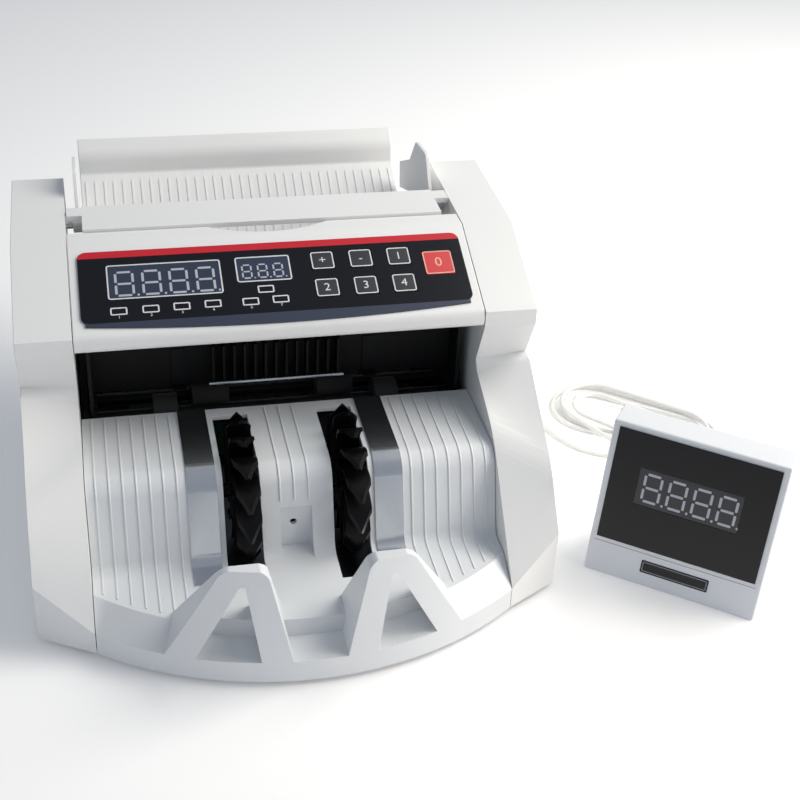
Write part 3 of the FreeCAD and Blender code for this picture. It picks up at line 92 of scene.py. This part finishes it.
def loop_points():
    """Control points whose smooth curve follows the loops' straight runs and round ends."""
    rounds = [(Vector((x, y)), radius) for x, y, radius in LOOPS]
    stops = [(Vector(HANK_IN), 0.0)] + rounds + [(Vector(HANK_OUT), 0.0)]
    touches = []
    for (first, first_radius), (second, second_radius) in zip(stops, stops[1:]):
        along = second - first
        distance = along.length
        along.normalize()
        share = (first_radius - second_radius) / distance
        out = along * share + Vector((along.y, -along.x)) * math.sqrt(1 - share ** 2)
        touches.append((first + out * first_radius, second + out * second_radius, out))
    points = [Vector((*HANK_IN, CORD_Z))]
    reach = 0.0
    for i, (leave, arrive, out) in enumerate(touches):
        low = CORD_Z if i <= CLIMB else UPPER_Z
        high = CORD_Z if i < CLIMB else UPPER_Z
        along = (arrive - leave).normalized()
        if i > 0:
            points.append(Vector((*(leave + along * reach), low)))
        if i == len(touches) - 1:
            points.append(Vector((*arrive, high)))
            break
        centre, radius = stops[i + 1]
        start = math.atan2(out.y, out.x)
        following = touches[i + 1][2]
        sweep = (math.atan2(following.y, following.x) - start) % (2 * math.pi)
        half = sweep / ROUND_STEPS / 2
        reach = radius * math.tan(half)
        points.append(Vector((*(arrive - along * reach), high)))
        for step in range(ROUND_STEPS):
            angle = start + half * (2 * step + 1)
            corner = centre + Vector((math.cos(angle), math.sin(angle))) * (radius / math.cos(half))
            points.append(Vector((*corner, high)))
    return points


loops = loop_points()
heading_in = (loops[1] - loops[0]).normalized()
heading_out = (loops[-1] - loops[-2]).normalized()
route = [Vector(point) for point in LEAD]
route += [loops[0] - heading_in * STRAIGHT_IN] + loops[1:-1]
route += [loops[-1] + heading_out * STRAIGHT_OUT, TAIL_BEND, GLAND_END + DISPLAY_DEPTH * STRAIGHT_GLAND,
          GLAND_END]
bpy.ops.curve.primitive_nurbs_path_add()
cord = bpy.context.object
cord.name = "display_cord"
cord.data.splines.clear()
spline = cord.data.splines.new("NURBS")
spline.points.add(len(route) - 1)
for point, place in zip(spline.points, route):
    point.co = (*mm(*place), 1.0)
    point.radius = CORD_RADIUS / 1000
spline.order_u = 3
spline.use_endpoint_u = True
spline.resolution_u = 8
cord.location = (0, 0, 0)
cord.data.dimensions = "3D"
cord.data.bevel_depth = 1.0
cord.data.bevel_resolution = 4
cord.data.use_fill_caps = True
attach(cord, "machine")
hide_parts("cord_lead", "cord_hank", "cord_tail")


# Materials: soft clouds of tone about 45 mm across, and a fine grain whose size is given in millimetres
CLOUD_SCALE = 22.0
GRAIN_DEPTH = 0.0002


def shade(code):
    """A hex colour as the linear values that a shader takes."""
    channels = [int(code[i:i + 2], 16) / 255 for i in (1, 3, 5)]
    return tuple(c / 12.92 if c <= 0.04045 else ((c + 0.055) / 1.055) ** 2.4 for c in channels) + (1.0,)


def add(tree, kind, **values):
    """A shader node with its sockets set by name."""
    made = tree.nodes.new(kind)
    for name, value in values.items():
        made.inputs[name.replace("_", " ")].default_value = value
    return made


def finish(name, colour, roughness, grain, relief, tone=0.06, metallic=0.0, coat=0.0, stretch=(1, 1, 1),
           shine=0.5):
    """A surface with soft changes of tone, uneven gloss and a fine grain."""
    material = bpy.data.materials.new(name)
    material.use_nodes = True
    tree = material.node_tree
    link = tree.links.new
    surface = tree.nodes["Principled BSDF"]
    surface.inputs["Metallic"].default_value = metallic
    surface.inputs["Coat Weight"].default_value = coat
    surface.inputs["Coat Roughness"].default_value = 0.12
    surface.inputs["Specular IOR Level"].default_value = shine
    where = tree.nodes.new("ShaderNodeTexCoord")
    mapping = add(tree, "ShaderNodeMapping", Scale=stretch)
    link(where.outputs["Object"], mapping.inputs["Vector"])
    cloud = add(tree, "ShaderNodeTexNoise", Scale=CLOUD_SCALE, Detail=3.0)
    fine = add(tree, "ShaderNodeTexNoise", Scale=1000.0 / grain, Detail=2.0)
    link(mapping.outputs["Vector"], cloud.inputs["Vector"])
    link(mapping.outputs["Vector"], fine.inputs["Vector"])
    dark = tuple(c * (1 - tone) for c in shade(colour)[:3]) + (1.0,)
    mix = add(tree, "ShaderNodeMix")
    mix.data_type = "RGBA"
    mix.inputs[6].default_value = dark
    mix.inputs[7].default_value = shade(colour)
    link(cloud.outputs["Fac"], mix.inputs[0])
    link(mix.outputs[2], surface.inputs["Base Color"])
    gloss = add(tree, "ShaderNodeMapRange", To_Min=roughness * 0.85, To_Max=min(1.0, roughness * 1.15))
    link(fine.outputs["Fac"], gloss.inputs["Value"])
    link(gloss.outputs["Result"], surface.inputs["Roughness"])
    bump = add(tree, "ShaderNodeBump", Strength=relief, Distance=GRAIN_DEPTH)
    link(fine.outputs["Fac"], bump.inputs["Height"])
    link(bump.outputs["Normal"], surface.inputs["Normal"])
    return material


# White body moulding: bright, barely grained, with a soft sheen
WHITE = finish("white_abs_moulding", "#E9EAEA", 0.4, 0.7, 0.06, 0.03)
# White tray moulding: a touch cooler and smoother than the covers
TRAY = finish("white_abs_smooth_moulding", "#E0E3E6", 0.36, 0.9, 0.05, 0.04)
# Overlay film: near black with a breath of blue, glossy and flat
FILM = finish("black_polyester_film", "#12131A", 0.26, 0.5, 0.03, 0.2, shine=0.3)
# Red print along the overlay's head: clear and even, with the film's gloss
RED = finish("red_screen_print", "#C81F2E", 0.33, 0.5, 0.03, 0.08)
# Red key cap: paler and softer than the band
RED_KEY = finish("red_silicone_moulding", "#D2413F", 0.42, 0.6, 0.05, 0.08)
# Slate print along the overlay's foot: a dark blue grey that hardly parts from the black
SLATE = finish("slate_screen_print", "#363D4F", 0.32, 0.5, 0.03, 0.12)
# Tinted display window: dark blue slate under a clear coat
LENS = finish("tinted_acrylic_polished", "#2C374D", 0.2, 0.6, 0.02, 0.25, coat=0.6)
# Smoked window of the remote display's digits: almost as dark as the front round it
SMOKE = finish("smoked_acrylic_polished", "#23242A", 0.3, 0.6, 0.02, 0.15, coat=0.3)
# Unlit digit segments: pale grey behind the window
SEGMENT = finish("pale_epoxy_cast", "#B4B8C2", 0.4, 0.5, 0.02, 0.06)
# Pale print of outlines and marks: off-white and dull
PALE = finish("pale_screen_print", "#D9DBDE", 0.45, 0.5, 0.02, 0.05)
# Pink print round the red key: pale and dull
PINK = finish("pink_screen_print", "#EBB3AA", 0.45, 0.5, 0.02, 0.05)
# Dark key caps: grey, soft and nearly without gloss
KEY = finish("dark_silicone_moulding", "#2D2E35", 0.42, 0.6, 0.05, 0.12)
# Bright strip: polished steel that mirrors the room, with faint marks along it
CHROME = finish("polished_steel", "#E2E5EA", 0.24, 0.8, 0.02, 0.08, metallic=1.0, stretch=(8, 1, 1))
# Plain sheet steel: dull with fine drawn lines
STEEL = finish("rolled_sheet_steel", "#9FA3A8", 0.38, 0.6, 0.06, 0.12, metallic=1.0, stretch=(1, 6, 1))
# Frame and shafts: steel coloured near black, a colour that also paints in the shade deep inside the opening,
# with a dull glint
DARK_STEEL = finish("near_black_steel_and_painted_shade", "#1B1C1E", 0.45, 0.6, 0.05, 0.2, metallic=0.5, shine=0.3)
# Black moulding inside the opening: dull and dark
BLACK = finish("black_abs_moulding", "#0B0B0D", 0.55, 0.7, 0.08, 0.2, shine=0.25)
# Stacker wheels: black flexible plastic with a soft shine along the fins
FINS = finish("black_polyurethane_moulding", "#060608", 0.34, 0.8, 0.05, 0.25, shine=0.2)
# Rubber tyres and feet: dull dark grey
RUBBER = finish("dark_rubber_moulding", "#232325", 0.75, 0.9, 0.12, 0.2)
# Circuit board: deep green with a lacquer's half gloss
BOARD = finish("green_lacquered_fibreglass", "#1F5B36", 0.5, 0.8, 0.05, 0.15)
# Remote display housing: pale silver grey, fine sheen
SILVER = finish("silver_grey_abs_moulding", "#E2E5EA", 0.38, 0.6, 0.06, 0.05)
# Painted shade of the groove in the remote display's front, and the grey line printed inside its label: the
# housing's grey as it looks in shade
SHADE = finish("grey_print_and_groove_shade", "#8E939B", 0.5, 0.6, 0.05, 0.08)
# Remote display front: black with a clear gloss
SCREEN = finish("black_acrylic_polished", "#101013", 0.24, 0.6, 0.02, 0.2, shine=0.35)
# Cord sheath: soft white with a dull gloss
SHEATH = finish("white_vinyl_extrusion", "#E6E6E4", 0.5, 0.6, 0.05, 0.05)

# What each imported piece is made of
DRESS = {
    WHITE: ["left_side_cover", "right_side_cover", "front_panel", "top_flap", "rear_tray", "left_bill_guide",
            "right_bill_guide", "rear_cover"],
    TRAY: ["stacker_tray"],
    FILM: ["panel_overlay", "indicator_lamps"],
    LENS: ["count_display", "batch_display"],
    SMOKE: ["display_digits"],
    KEY: ["key_plus", "key_minus", "key_batch", "key_add", "key_uv", "key_mg"],
    RED_KEY: ["key_restart"],
    BOARD: ["panel_board", "main_board"],
    STEEL: ["base_pan", "hopper_plate", "drive_motor"],
    # Parts deep in the opening take the near black that paints in their shade
    DARK_STEEL: ["left_frame_plate", "right_frame_plate", "stacker_shaft", "feed_shaft", "pickup_shaft",
                 "exit_shaft", "shaft_bearings", "spring_tabs"],
    CHROME: ["steel_strips", "guard_rod", "guide_rail"],
    BLACK: ["exit_guide", "stack_sensor", "power_inlet", "rocker_switch", "display_jack", "display_gland",
            "stacker_pulley", "motor_pulley", "drive_belt", "transport_belt"],
    FINS: ["left_stacker_wheel", "right_stacker_wheel"],
    RUBBER: ["feed_rollers", "pickup_rollers", "exit_rollers", "retard_roller", "rubber_feet"],
    SILVER: ["display_housing"],
    SCREEN: ["display_screen"],
    SHEATH: ["cord_plug"],
}
for material, names in DRESS.items():
    for name in names:
        for slot in nodes[name].material_slots:
            slot.material = material
cord.data.materials.append(SHEATH)


def select_only(obj):
    """Leave one piece selected and at hand."""
    bpy.ops.object.select_all(action="DESELECT")
    obj.select_set(True)
    bpy.context.view_layer.objects.active = obj


# Rounded edges of the mouldings, in metres
EDGE_ROUNDS = {"front_panel": 0.0006, "top_flap": 0.0008, "rear_tray": 0.0006, "stacker_tray": 0.0007,
               "left_bill_guide": 0.0005, "right_bill_guide": 0.0005, "display_housing": 0.0016,
               "display_screen": 0.0003, "panel_overlay": 0.0002}
SMALL_ROUND = 0.0008
COVER_HALF, COVER_ROUND = 0.1445, 0.0045
WELD_REACH = 0.00001
FLAT_ANGLE = math.radians(0.05)
EDGE_ANGLE = math.radians(24)


def soften(name, width, half=None, outer_width=None):
    """Round a moulding's edges a little, and the ones outside a half width by more."""
    obj = nodes[name]
    select_only(obj)
    bpy.ops.object.shade_smooth()
    weld = obj.modifiers.new("weld", "WELD")
    weld.merge_threshold = WELD_REACH
    flat = obj.modifiers.new("flat", "DECIMATE")
    flat.decimate_type = "DISSOLVE"
    flat.angle_limit = FLAT_ANGLE
    if half:
        group = obj.vertex_groups.new(name="outer")
        group.add([v.index for v in obj.data.vertices if abs(v.co.x - MIDDLE.x) > half], 1.0, "REPLACE")
        wide = obj.modifiers.new("outer", "BEVEL")
        wide.limit_method = "VGROUP"
        wide.vertex_group = "outer"
        wide.width = outer_width
        wide.segments = 5
    edge = obj.modifiers.new("edge", "BEVEL")
    edge.limit_method = "ANGLE"
    edge.angle_limit = EDGE_ANGLE
    edge.width = width
    edge.segments = 2
    obj.modifiers.new("normals", "WEIGHTED_NORMAL")


for name in ("left_side_cover", "right_side_cover"):
    soften(name, SMALL_ROUND, COVER_HALF, COVER_ROUND)
for name, width in EDGE_ROUNDS.items():
    soften(name, width)
for name in DRESS[KEY] + DRESS[RED_KEY]:
    soften(name, SMALL_ROUND)


# Flat details, each on a face given by its own axes: the panel's slope from its crease, the remote display's
# leaning front from its corner, and the rear tray from its hinge
def face(origin, across, along):
    """Axes of a face: across it, up along it, and out of it."""
    out = across.cross(along)
    axes = Matrix((across, along, out)).transposed().to_4x4()
    return Matrix.Translation(origin) @ axes


SLOPE = math.radians(22.75)
PANEL = face(mm(0, 24, 168), Vector((1, 0, 0)), Vector((0, math.cos(SLOPE), math.sin(SLOPE))))
LEAN = math.radians(13.5)
REMOTE = face(mm(*DISPLAY_CORNER), DISPLAY_ACROSS,
              DISPLAY_DEPTH * math.sin(LEAN) + Vector((0, 0, 1)) * math.cos(LEAN))
FOLD = math.radians(29)
HOPPER = face(mm(0, 103, 99), Vector((1, 0, 0)), Vector((0, math.cos(FOLD), math.sin(FOLD))))


def settle(obj, name, material, body):
    """Name a finished piece, dress it and let it ride on its body."""
    obj.name = name
    obj.data.name = name
    obj.data.materials.clear()
    obj.data.materials.append(material)
    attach(obj, body)


def plate(axes, across, along, out, round_by, upper_only=False):
    """A thin block on a face between limits in millimetres, with its corners, or the upper two, rounded."""
    bpy.ops.object.select_all(action="DESELECT")
    bpy.ops.mesh.primitive_cube_add(size=1)
    obj = bpy.context.object
    limits = (across, along, out)
    middle = Vector([(low + high) / 2000 for low, high in limits])
    stretch = [(high - low) / 1000 for low, high in limits]
    obj.matrix_world = axes @ Matrix.Translation(middle) @ Matrix.Diagonal((*stretch, 1))
    bpy.ops.object.transform_apply(location=True, rotation=True, scale=True)
    upward, normal = (axes.to_3x3() @ Vector(way) for way in ((0, 1, 0), (0, 0, 1)))
    centre = axes @ middle
    bpy.context.tool_settings.mesh_select_mode = (False, True, False)
    for part in (*obj.data.vertices, *obj.data.polygons):
        part.select = False
    for edge in obj.data.edges:
        ends = [obj.data.vertices[i].co for i in edge.vertices]
        upright = abs((ends[1] - ends[0]).normalized().dot(normal)) > 0.99
        edge.select = upright and (not upper_only or (ends[0] - centre).dot(upward) > 0)
    bpy.ops.object.mode_set(mode="EDIT")
    bpy.ops.mesh.bevel(offset=round_by / 1000, segments=4, affect="EDGES")
    bpy.ops.mesh.select_mode(type="VERT")
    bpy.ops.object.mode_set(mode="OBJECT")
    return obj


def outline(axes, across, along, out, line, corner):
    """A printed line round a rectangle on a face."""
    bpy.ops.object.select_all(action="DESELECT")
    bpy.ops.mesh.primitive_plane_add(size=1)
    obj = bpy.context.object
    middle = Vector([(across[0] + across[1]) / 2000, (along[0] + along[1]) / 2000, out / 1000])
    stretch = [(across[1] - across[0]) / 1000, (along[1] - along[0]) / 1000, 1]
    obj.matrix_world = axes @ Matrix.Translation(middle) @ Matrix.Diagonal((*stretch, 1))
    bpy.ops.object.transform_apply(location=True, rotation=True, scale=True)
    bpy.ops.object.mode_set(mode="EDIT")
    bpy.ops.mesh.select_all(action="SELECT")
    bpy.ops.mesh.bevel(offset=corner / 1000, segments=4, affect="VERTICES")
    bpy.ops.mesh.select_all(action="SELECT")
    bpy.ops.mesh.inset(thickness=line / 1000)
    bpy.ops.mesh.delete(type="FACE")
    bpy.ops.mesh.select_all(action="SELECT")
    bpy.ops.mesh.solidify(thickness=-0.00006)
    bpy.ops.object.mode_set(mode="OBJECT")
    return obj


def join(pieces):
    """Several pieces made one."""
    bpy.ops.object.select_all(action="DESELECT")
    for piece in pieces:
        piece.select_set(True)
    bpy.context.view_layer.objects.active = pieces[0]
    bpy.ops.object.join()
    return bpy.context.object


# Panel print: red band, slate sweep, outlines round the windows and lamps, plain numbers under the lamps.
# In millimetres: the height of the overlay's face, the seam's half width, and the thickness of the print.
OVERLAY_TOP = 1.0
SEAM_HALF = 115.0
PRINT = 0.05
band = plate(PANEL, (-109.5, 109.5), (-12.4, -7.6), (OVERLAY_TOP, OVERLAY_TOP + PRINT), 4.6, True)
settle(band, "panel_red_band", RED, "machine")

# Slate sweep: the bowed foot of the overlay, a shallow segment of a large circle cut off at its sides
SWEEP_FOOT, SWEEP_RADIUS, SWEEP_RISE = -64.9, 1132.0, 0.98
SWEEP_CUTS = [((0, -53, 0), (0, -1, 0)), ((-107.5, 0, 0), (1, 0, 0)), ((107.5, 0, 0), (-1, 0, 0))]
bpy.ops.object.select_all(action="DESELECT")
bpy.ops.mesh.primitive_circle_add(vertices=1024, radius=SWEEP_RADIUS / 1000, fill_type="NGON")
sweep = bpy.context.object
sweep.matrix_world = PANEL @ Matrix.Translation(Vector((0, SWEEP_FOOT + SWEEP_RADIUS, 0)) / 1000)
bpy.ops.object.transform_apply(location=True, rotation=True, scale=True)
bpy.ops.object.mode_set(mode="EDIT")
for place, keep in SWEEP_CUTS:
    bpy.ops.mesh.select_all(action="SELECT")
    bpy.ops.mesh.bisect(plane_co=PANEL @ (Vector(place) / 1000), plane_no=PANEL.to_3x3() @ Vector(keep),
                        clear_inner=True)
bpy.ops.mesh.select_all(action="SELECT")
rise = PANEL.to_3x3() @ Vector((0, 0, SWEEP_RISE / 1000))
bpy.ops.mesh.extrude_region_move(TRANSFORM_OT_translate={"value": rise})
bpy.ops.mesh.select_all(action="SELECT")
bpy.ops.mesh.normals_make_consistent(inside=False)
bpy.ops.object.mode_set(mode="OBJECT")
settle(sweep, "panel_slate_sweep", SLATE, "machine")

# Keys and lamps: across from the middle, down from the crease, and the mark on each key
COLUMN, PITCH = 0.235 * SEAM_HALF, 0.1935 * SEAM_HALF
KEYS = {"key_plus": (COLUMN, 23.2, "+"), "key_minus": (COLUMN + PITCH, 23.2, "-"),
        "key_batch": (COLUMN + 2 * PITCH, 23.2, "1"), "key_add": (COLUMN, 43, "2"),
        "key_uv": (COLUMN + PITCH, 43, "3"), "key_mg": (COLUMN + 2 * PITCH, 43, "4"),
        "key_restart": (0.819 * SEAM_HALF, 29.6, "0")}
LAMPS = [(-0.7757, 50.4), (-0.6252, 50.1), (-0.4783, 49.6), (-0.3296, 49.2), (-0.1478, 49.4), (-0.0652, 41.2),
         (-0.0009, 48.9)]


def legend(text, axes, across, along, out, size):
    """A printed character, centred on a point of a face."""
    bpy.ops.object.select_all(action="DESELECT")
    bpy.ops.object.text_add()
    obj = bpy.context.object
    obj.data.body = text
    obj.data.size = size / 1000
    obj.data.align_x = "CENTER"
    obj.data.align_y = "CENTER"
    obj.data.extrude = 0.00002
    bpy.ops.object.convert(target="MESH")
    obj = bpy.context.object
    obj.matrix_world = axes @ Matrix.Translation(Vector((across, along, out)) / 1000)
    bpy.ops.object.transform_apply(location=True, rotation=True, scale=True)
    return obj


# Windows' outlines, then each lamp's with its number, apart from the lamp that stands above the others
LINE = 0.8
LAMP_ACROSS, LAMP_DOWN, LOWER_ROW = 4.6, 2.6, 42
lines = [outline(PANEL, (-94.4, -31.1), (-42.2, -17.9), OVERLAY_TOP, LINE, 1.6),
         outline(PANEL, (-22.8, 8.3), (-35.5, -17.4), OVERLAY_TOP, LINE, 1.6)]
for index, (share, down) in enumerate(LAMPS, start=1):
    x = share * SEAM_HALF
    lines.append(outline(PANEL, (x - LAMP_ACROSS, x + LAMP_ACROSS), (-down - LAMP_DOWN, -down + LAMP_DOWN),
                         OVERLAY_TOP, LINE, 0.8))
    if down > LOWER_ROW:
        lines.append(legend(str(index), PANEL, x, -down - 4.1, OVERLAY_TOP + 0.03, 2.6))
settle(join(lines), "panel_outlines", PALE, "machine")


def digits(axes, left, foot, width, height, pitch, count, out, gauge):
    """A row of seven-bar digits with their points, all unlit."""
    half = height / 2
    end = gauge * 0.7
    level = (end, width - end)
    lower = (end, half - end)
    upper = (half + end, height - end)
    bars = [(level, (at - gauge / 2, at + gauge / 2)) for at in (0, half, height)]
    for side in (0, width):
        bars += [((side - gauge / 2, side + gauge / 2), along) for along in (lower, upper)]
    bars.append(((width + gauge * 1.3, width + gauge * 2.2), (-gauge / 2, gauge / 2)))
    made = []
    for index in range(count):
        start = left + pitch * index
        for across, along in bars:
            made.append(plate(axes, (start + across[0], start + across[1]),
                              (foot + along[0], foot + along[1]), (out, out + PRINT), gauge * 0.35))
    return join(made)


WINDOW_TOP = OVERLAY_TOP - 0.1
count = digits(PANEL, left=-89.6, foot=-39.6, width=9.4, height=16.4, pitch=14.9, count=4, out=WINDOW_TOP,
               gauge=1.4)
settle(count, "count_segments", SEGMENT, "machine")
batch = digits(PANEL, left=-19.2, foot=-32.6, width=5.0, height=9.4, pitch=8.9, count=3, out=WINDOW_TOP,
               gauge=0.95)
settle(batch, "batch_segments", SEGMENT, "machine")
remote = digits(REMOTE, left=24.8, foot=52.4, width=9.6, height=16.6, pitch=14.6, count=4, out=0.7, gauge=1.5)
settle(remote, "remote_segments", SEGMENT, "machine")

# Key print: an outline and a plain mark on each cap. Each kind of cap has the outline's half width and half
# height, the size of its mark and its ink.
CAP_TOP = 1.4
SMALL_CAP = (6.45, 6.15, 7.5, PALE)
RED_CAP = (8.5, 8.35, 9.0, PINK)
for name, (x, down, mark) in KEYS.items():
    half_across, half_down, size, ink = RED_CAP if name == "key_restart" else SMALL_CAP
    rim = outline(PANEL, (x - half_across, x + half_across), (-down - half_down, -down + half_down),
                  CAP_TOP, 0.7, 1.4)
    sign = legend(mark, PANEL, x, -down, CAP_TOP + 0.03, size)
    settle(join([rim, sign]), name + "_print", ink, name + "_cap")

# Remote display: bare black label with a grey line printed inside its edge, and the groove under the screen
# painted as a thin grey strip of shade
LABEL_TOP = 0.2
label = plate(REMOTE, (33, 73), (8.6, 16.4), (0, LABEL_TOP), 0.8)
settle(label, "remote_label", SCREEN, "machine")
label_line = outline(REMOTE, (33.9, 72.1), (9.5, 15.5), LABEL_TOP, 0.45, 0.6)
settle(label_line, "remote_label_line", SHADE, "machine")
# No groove is cut: a flat strip in the grey of shade is painted where the groove's shadow lies
groove_shade = plate(REMOTE, (3, 99), (20.2, 20.6), (0, 0.03), 0.15)
settle(groove_shade, "remote_groove_painted_shade", SHADE, "machine")

# Ribs on the stacker tray, following its plate, its knee, its steep face and its floor
REAR_Y, KNEE_Y, TOP_Z, FLOOR_Z, POCKET_Z = -17.0, -78.0, 75.0, 26.5, 57
KNEE_RADIUS, HEEL_RADIUS, TRAY_LEAN = 14.0, 8.0, math.radians(19.1)
HEEL_Y = KNEE_Y - (TOP_Z - FLOOR_Z) * math.tan(TRAY_LEAN)
BEND_STEPS = 5


def tray_path(front_y):
    """Points along the tray's upper face, from its rear edge to its floor, or to above the sensor pocket."""
    points = [Vector((REAR_Y, TOP_Z))]
    bend = math.pi / 2 - TRAY_LEAN
    for corner, radius, start, sign in ((Vector((KNEE_Y, TOP_Z)), KNEE_RADIUS, math.pi / 2, 1),
                                        (Vector((HEEL_Y, FLOOR_Z)), HEEL_RADIUS, -TRAY_LEAN, -1)):
        reach = radius * math.tan(bend / 2)
        first = corner + (Vector((reach, 0)) if sign > 0 else
                          Vector((math.sin(TRAY_LEAN), math.cos(TRAY_LEAN))) * reach)
        centre = first - Vector((0, radius)) if sign > 0 else first + Vector(
            (-math.cos(TRAY_LEAN), math.sin(TRAY_LEAN))) * radius
        for step in range(BEND_STEPS + 1):
            angle = start + sign * bend * step / BEND_STEPS
            points.append(centre + Vector((math.cos(angle), math.sin(angle))) * radius)
    if front_y is None:
        past_knee = KNEE_Y - (TOP_Z - POCKET_Z) * math.tan(TRAY_LEAN)
        return points[:BEND_STEPS + 2] + [Vector((past_knee, POCKET_Z))]
    points.append(Vector((front_y, FLOOR_Z)))
    return points


def rib(x, front_y):
    """One raised line on the tray: an edge a millimetre wide, drawn out along the tray's face."""
    path = tray_path(front_y)
    bpy.ops.object.select_all(action="DESELECT")
    bpy.ops.mesh.primitive_plane_add(size=0.001)
    obj = bpy.context.object
    bpy.ops.object.mode_set(mode="EDIT")
    bpy.ops.mesh.select_all(action="SELECT")
    bpy.ops.mesh.delete(type="ONLY_FACE")
    bpy.ops.object.mode_set(mode="OBJECT")
    keep = [v.index for v in obj.data.vertices if v.co.y > 0]
    for vertex in obj.data.vertices:
        vertex.select = vertex.index not in keep
    bpy.ops.object.mode_set(mode="EDIT")
    bpy.ops.mesh.delete(type="VERT")
    bpy.ops.mesh.select_all(action="SELECT")
    bpy.ops.transform.translate(value=mm(x, path[0].x, path[0].y) - Vector((0, 0.0005, 0)))
    for before, after in zip(path, path[1:]):
        step = Vector((0, after.x - before.x, after.y - before.y)) / 1000
        bpy.ops.mesh.extrude_region_move(TRANSFORM_OT_translate={"value": step})
    bpy.ops.mesh.select_all(action="SELECT")
    bpy.ops.mesh.normals_make_consistent(inside=False)
    bpy.ops.object.mode_set(mode="OBJECT")
    return obj


def bow_y(x, radius):
    """Where a circle about the bowed front's centre crosses a rib."""
    return BOW_CENTRE_Y - math.sqrt(radius ** 2 - x ** 2)


# Seven ribs on each side, the first of them inside the floor's step, and three between the wheels
BOW_CENTRE_Y, STEP_HALF, STEP_RADIUS, LIP_RADIUS = 20.5, 72, 168, 172
FIRST_RIB, RIB_PITCH, SIDE_RIBS = 65.5, 7.3, 7
MIDDLE_RIBS = (-9.5, -1.5, 6.5)
ribs = []
for side in (-1, 1):
    for index in range(SIDE_RIBS):
        x = side * (FIRST_RIB + RIB_PITCH * index)
        ribs.append(rib(x, bow_y(x, STEP_RADIUS if abs(x) < STEP_HALF else LIP_RADIUS)))
for x in MIDDLE_RIBS:
    ribs.append(rib(x, None))
tray_ribs = join(ribs)
thick = tray_ribs.modifiers.new("thick", "SOLIDIFY")
thick.thickness = 0.001
thick.offset = 0.0
edge = tray_ribs.modifiers.new("edge", "BEVEL")
edge.width = 0.00025
edge.segments = 2
select_only(tray_ribs)
bpy.ops.object.modifier_apply(modifier="thick")
bpy.ops.object.modifier_apply(modifier="edge")
settle(tray_ribs, "tray_ribs", TRAY, "machine")

# Ribs on the rear tray: one at its left edge, copied across it
REAR_RIBS, REAR_PITCH = 35, 0.006
rear_rib = plate(HOPPER, (-102.5, -101.5), (8, 80), (1.1, 1.6), 0.45)
copies = rear_rib.modifiers.new("copies", "ARRAY")
copies.count = REAR_RIBS
copies.use_relative_offset = False
copies.use_constant_offset = True
copies.constant_offset_displace = (REAR_PITCH, 0, 0)
select_only(rear_rib)
bpy.ops.object.modifier_apply(modifier="copies")
settle(rear_rib, "rear_tray_ribs", WHITE, "tray")

# Floor and light: a window high on the right, a weak cool light from the left and a warm one low on the right
bpy.ops.mesh.primitive_plane_add(size=8, location=(0, 0, 0))
floor = bpy.context.object
floor.name = "pale_floor"
floor.data.materials.append(finish("white_paint_rolled", "#FAFAFA", 0.6, 2.0, 0.0, 0.01))
glow = floor.data.materials[0].node_tree.nodes["Principled BSDF"]
glow.inputs["Emission Color"].default_value = shade("#FFFFFF")
glow.inputs["Emission Strength"].default_value = 0.12


def lamp(name, place, aim, size, power, colour):
    """A soft square of light, turned to what it lights."""
    bpy.ops.object.light_add(type="AREA", location=place)
    light = bpy.context.object
    light.name = name
    light.data.shape = "RECTANGLE"
    light.data.size = size[0]
    light.data.size_y = size[1]
    light.data.energy = power
    light.data.color = shade(colour)[:3]
    light.rotation_euler = (Vector(aim) - Vector(place)).to_track_quat("-Z", "Y").to_euler()


lamp("window_light", (0.85, 0.06, 0.95), (0, -0.02, 0.05), (0.9, 0.9), 15.5, "#FFFBF2")
lamp("left_light", (-1.2, -0.9, 1.0), (0, 0, 0.05), (0.9, 0.9), 0.7, "#DDE8FF")
lamp("front_light", (1.2, -0.6, 0.45), (0, -0.02, 0.08), (0.8, 0.8), 8, "#FFF4E6")
world = bpy.data.worlds.new("pale_room")
bpy.context.scene.world = world
world.use_nodes = True
world.node_tree.nodes["Background"].inputs["Color"].default_value = shade("#E6EEFB")
world.node_tree.nodes["Background"].inputs["Strength"].default_value = 0.37
bpy.context.scene.view_settings.view_transform = "Standard"
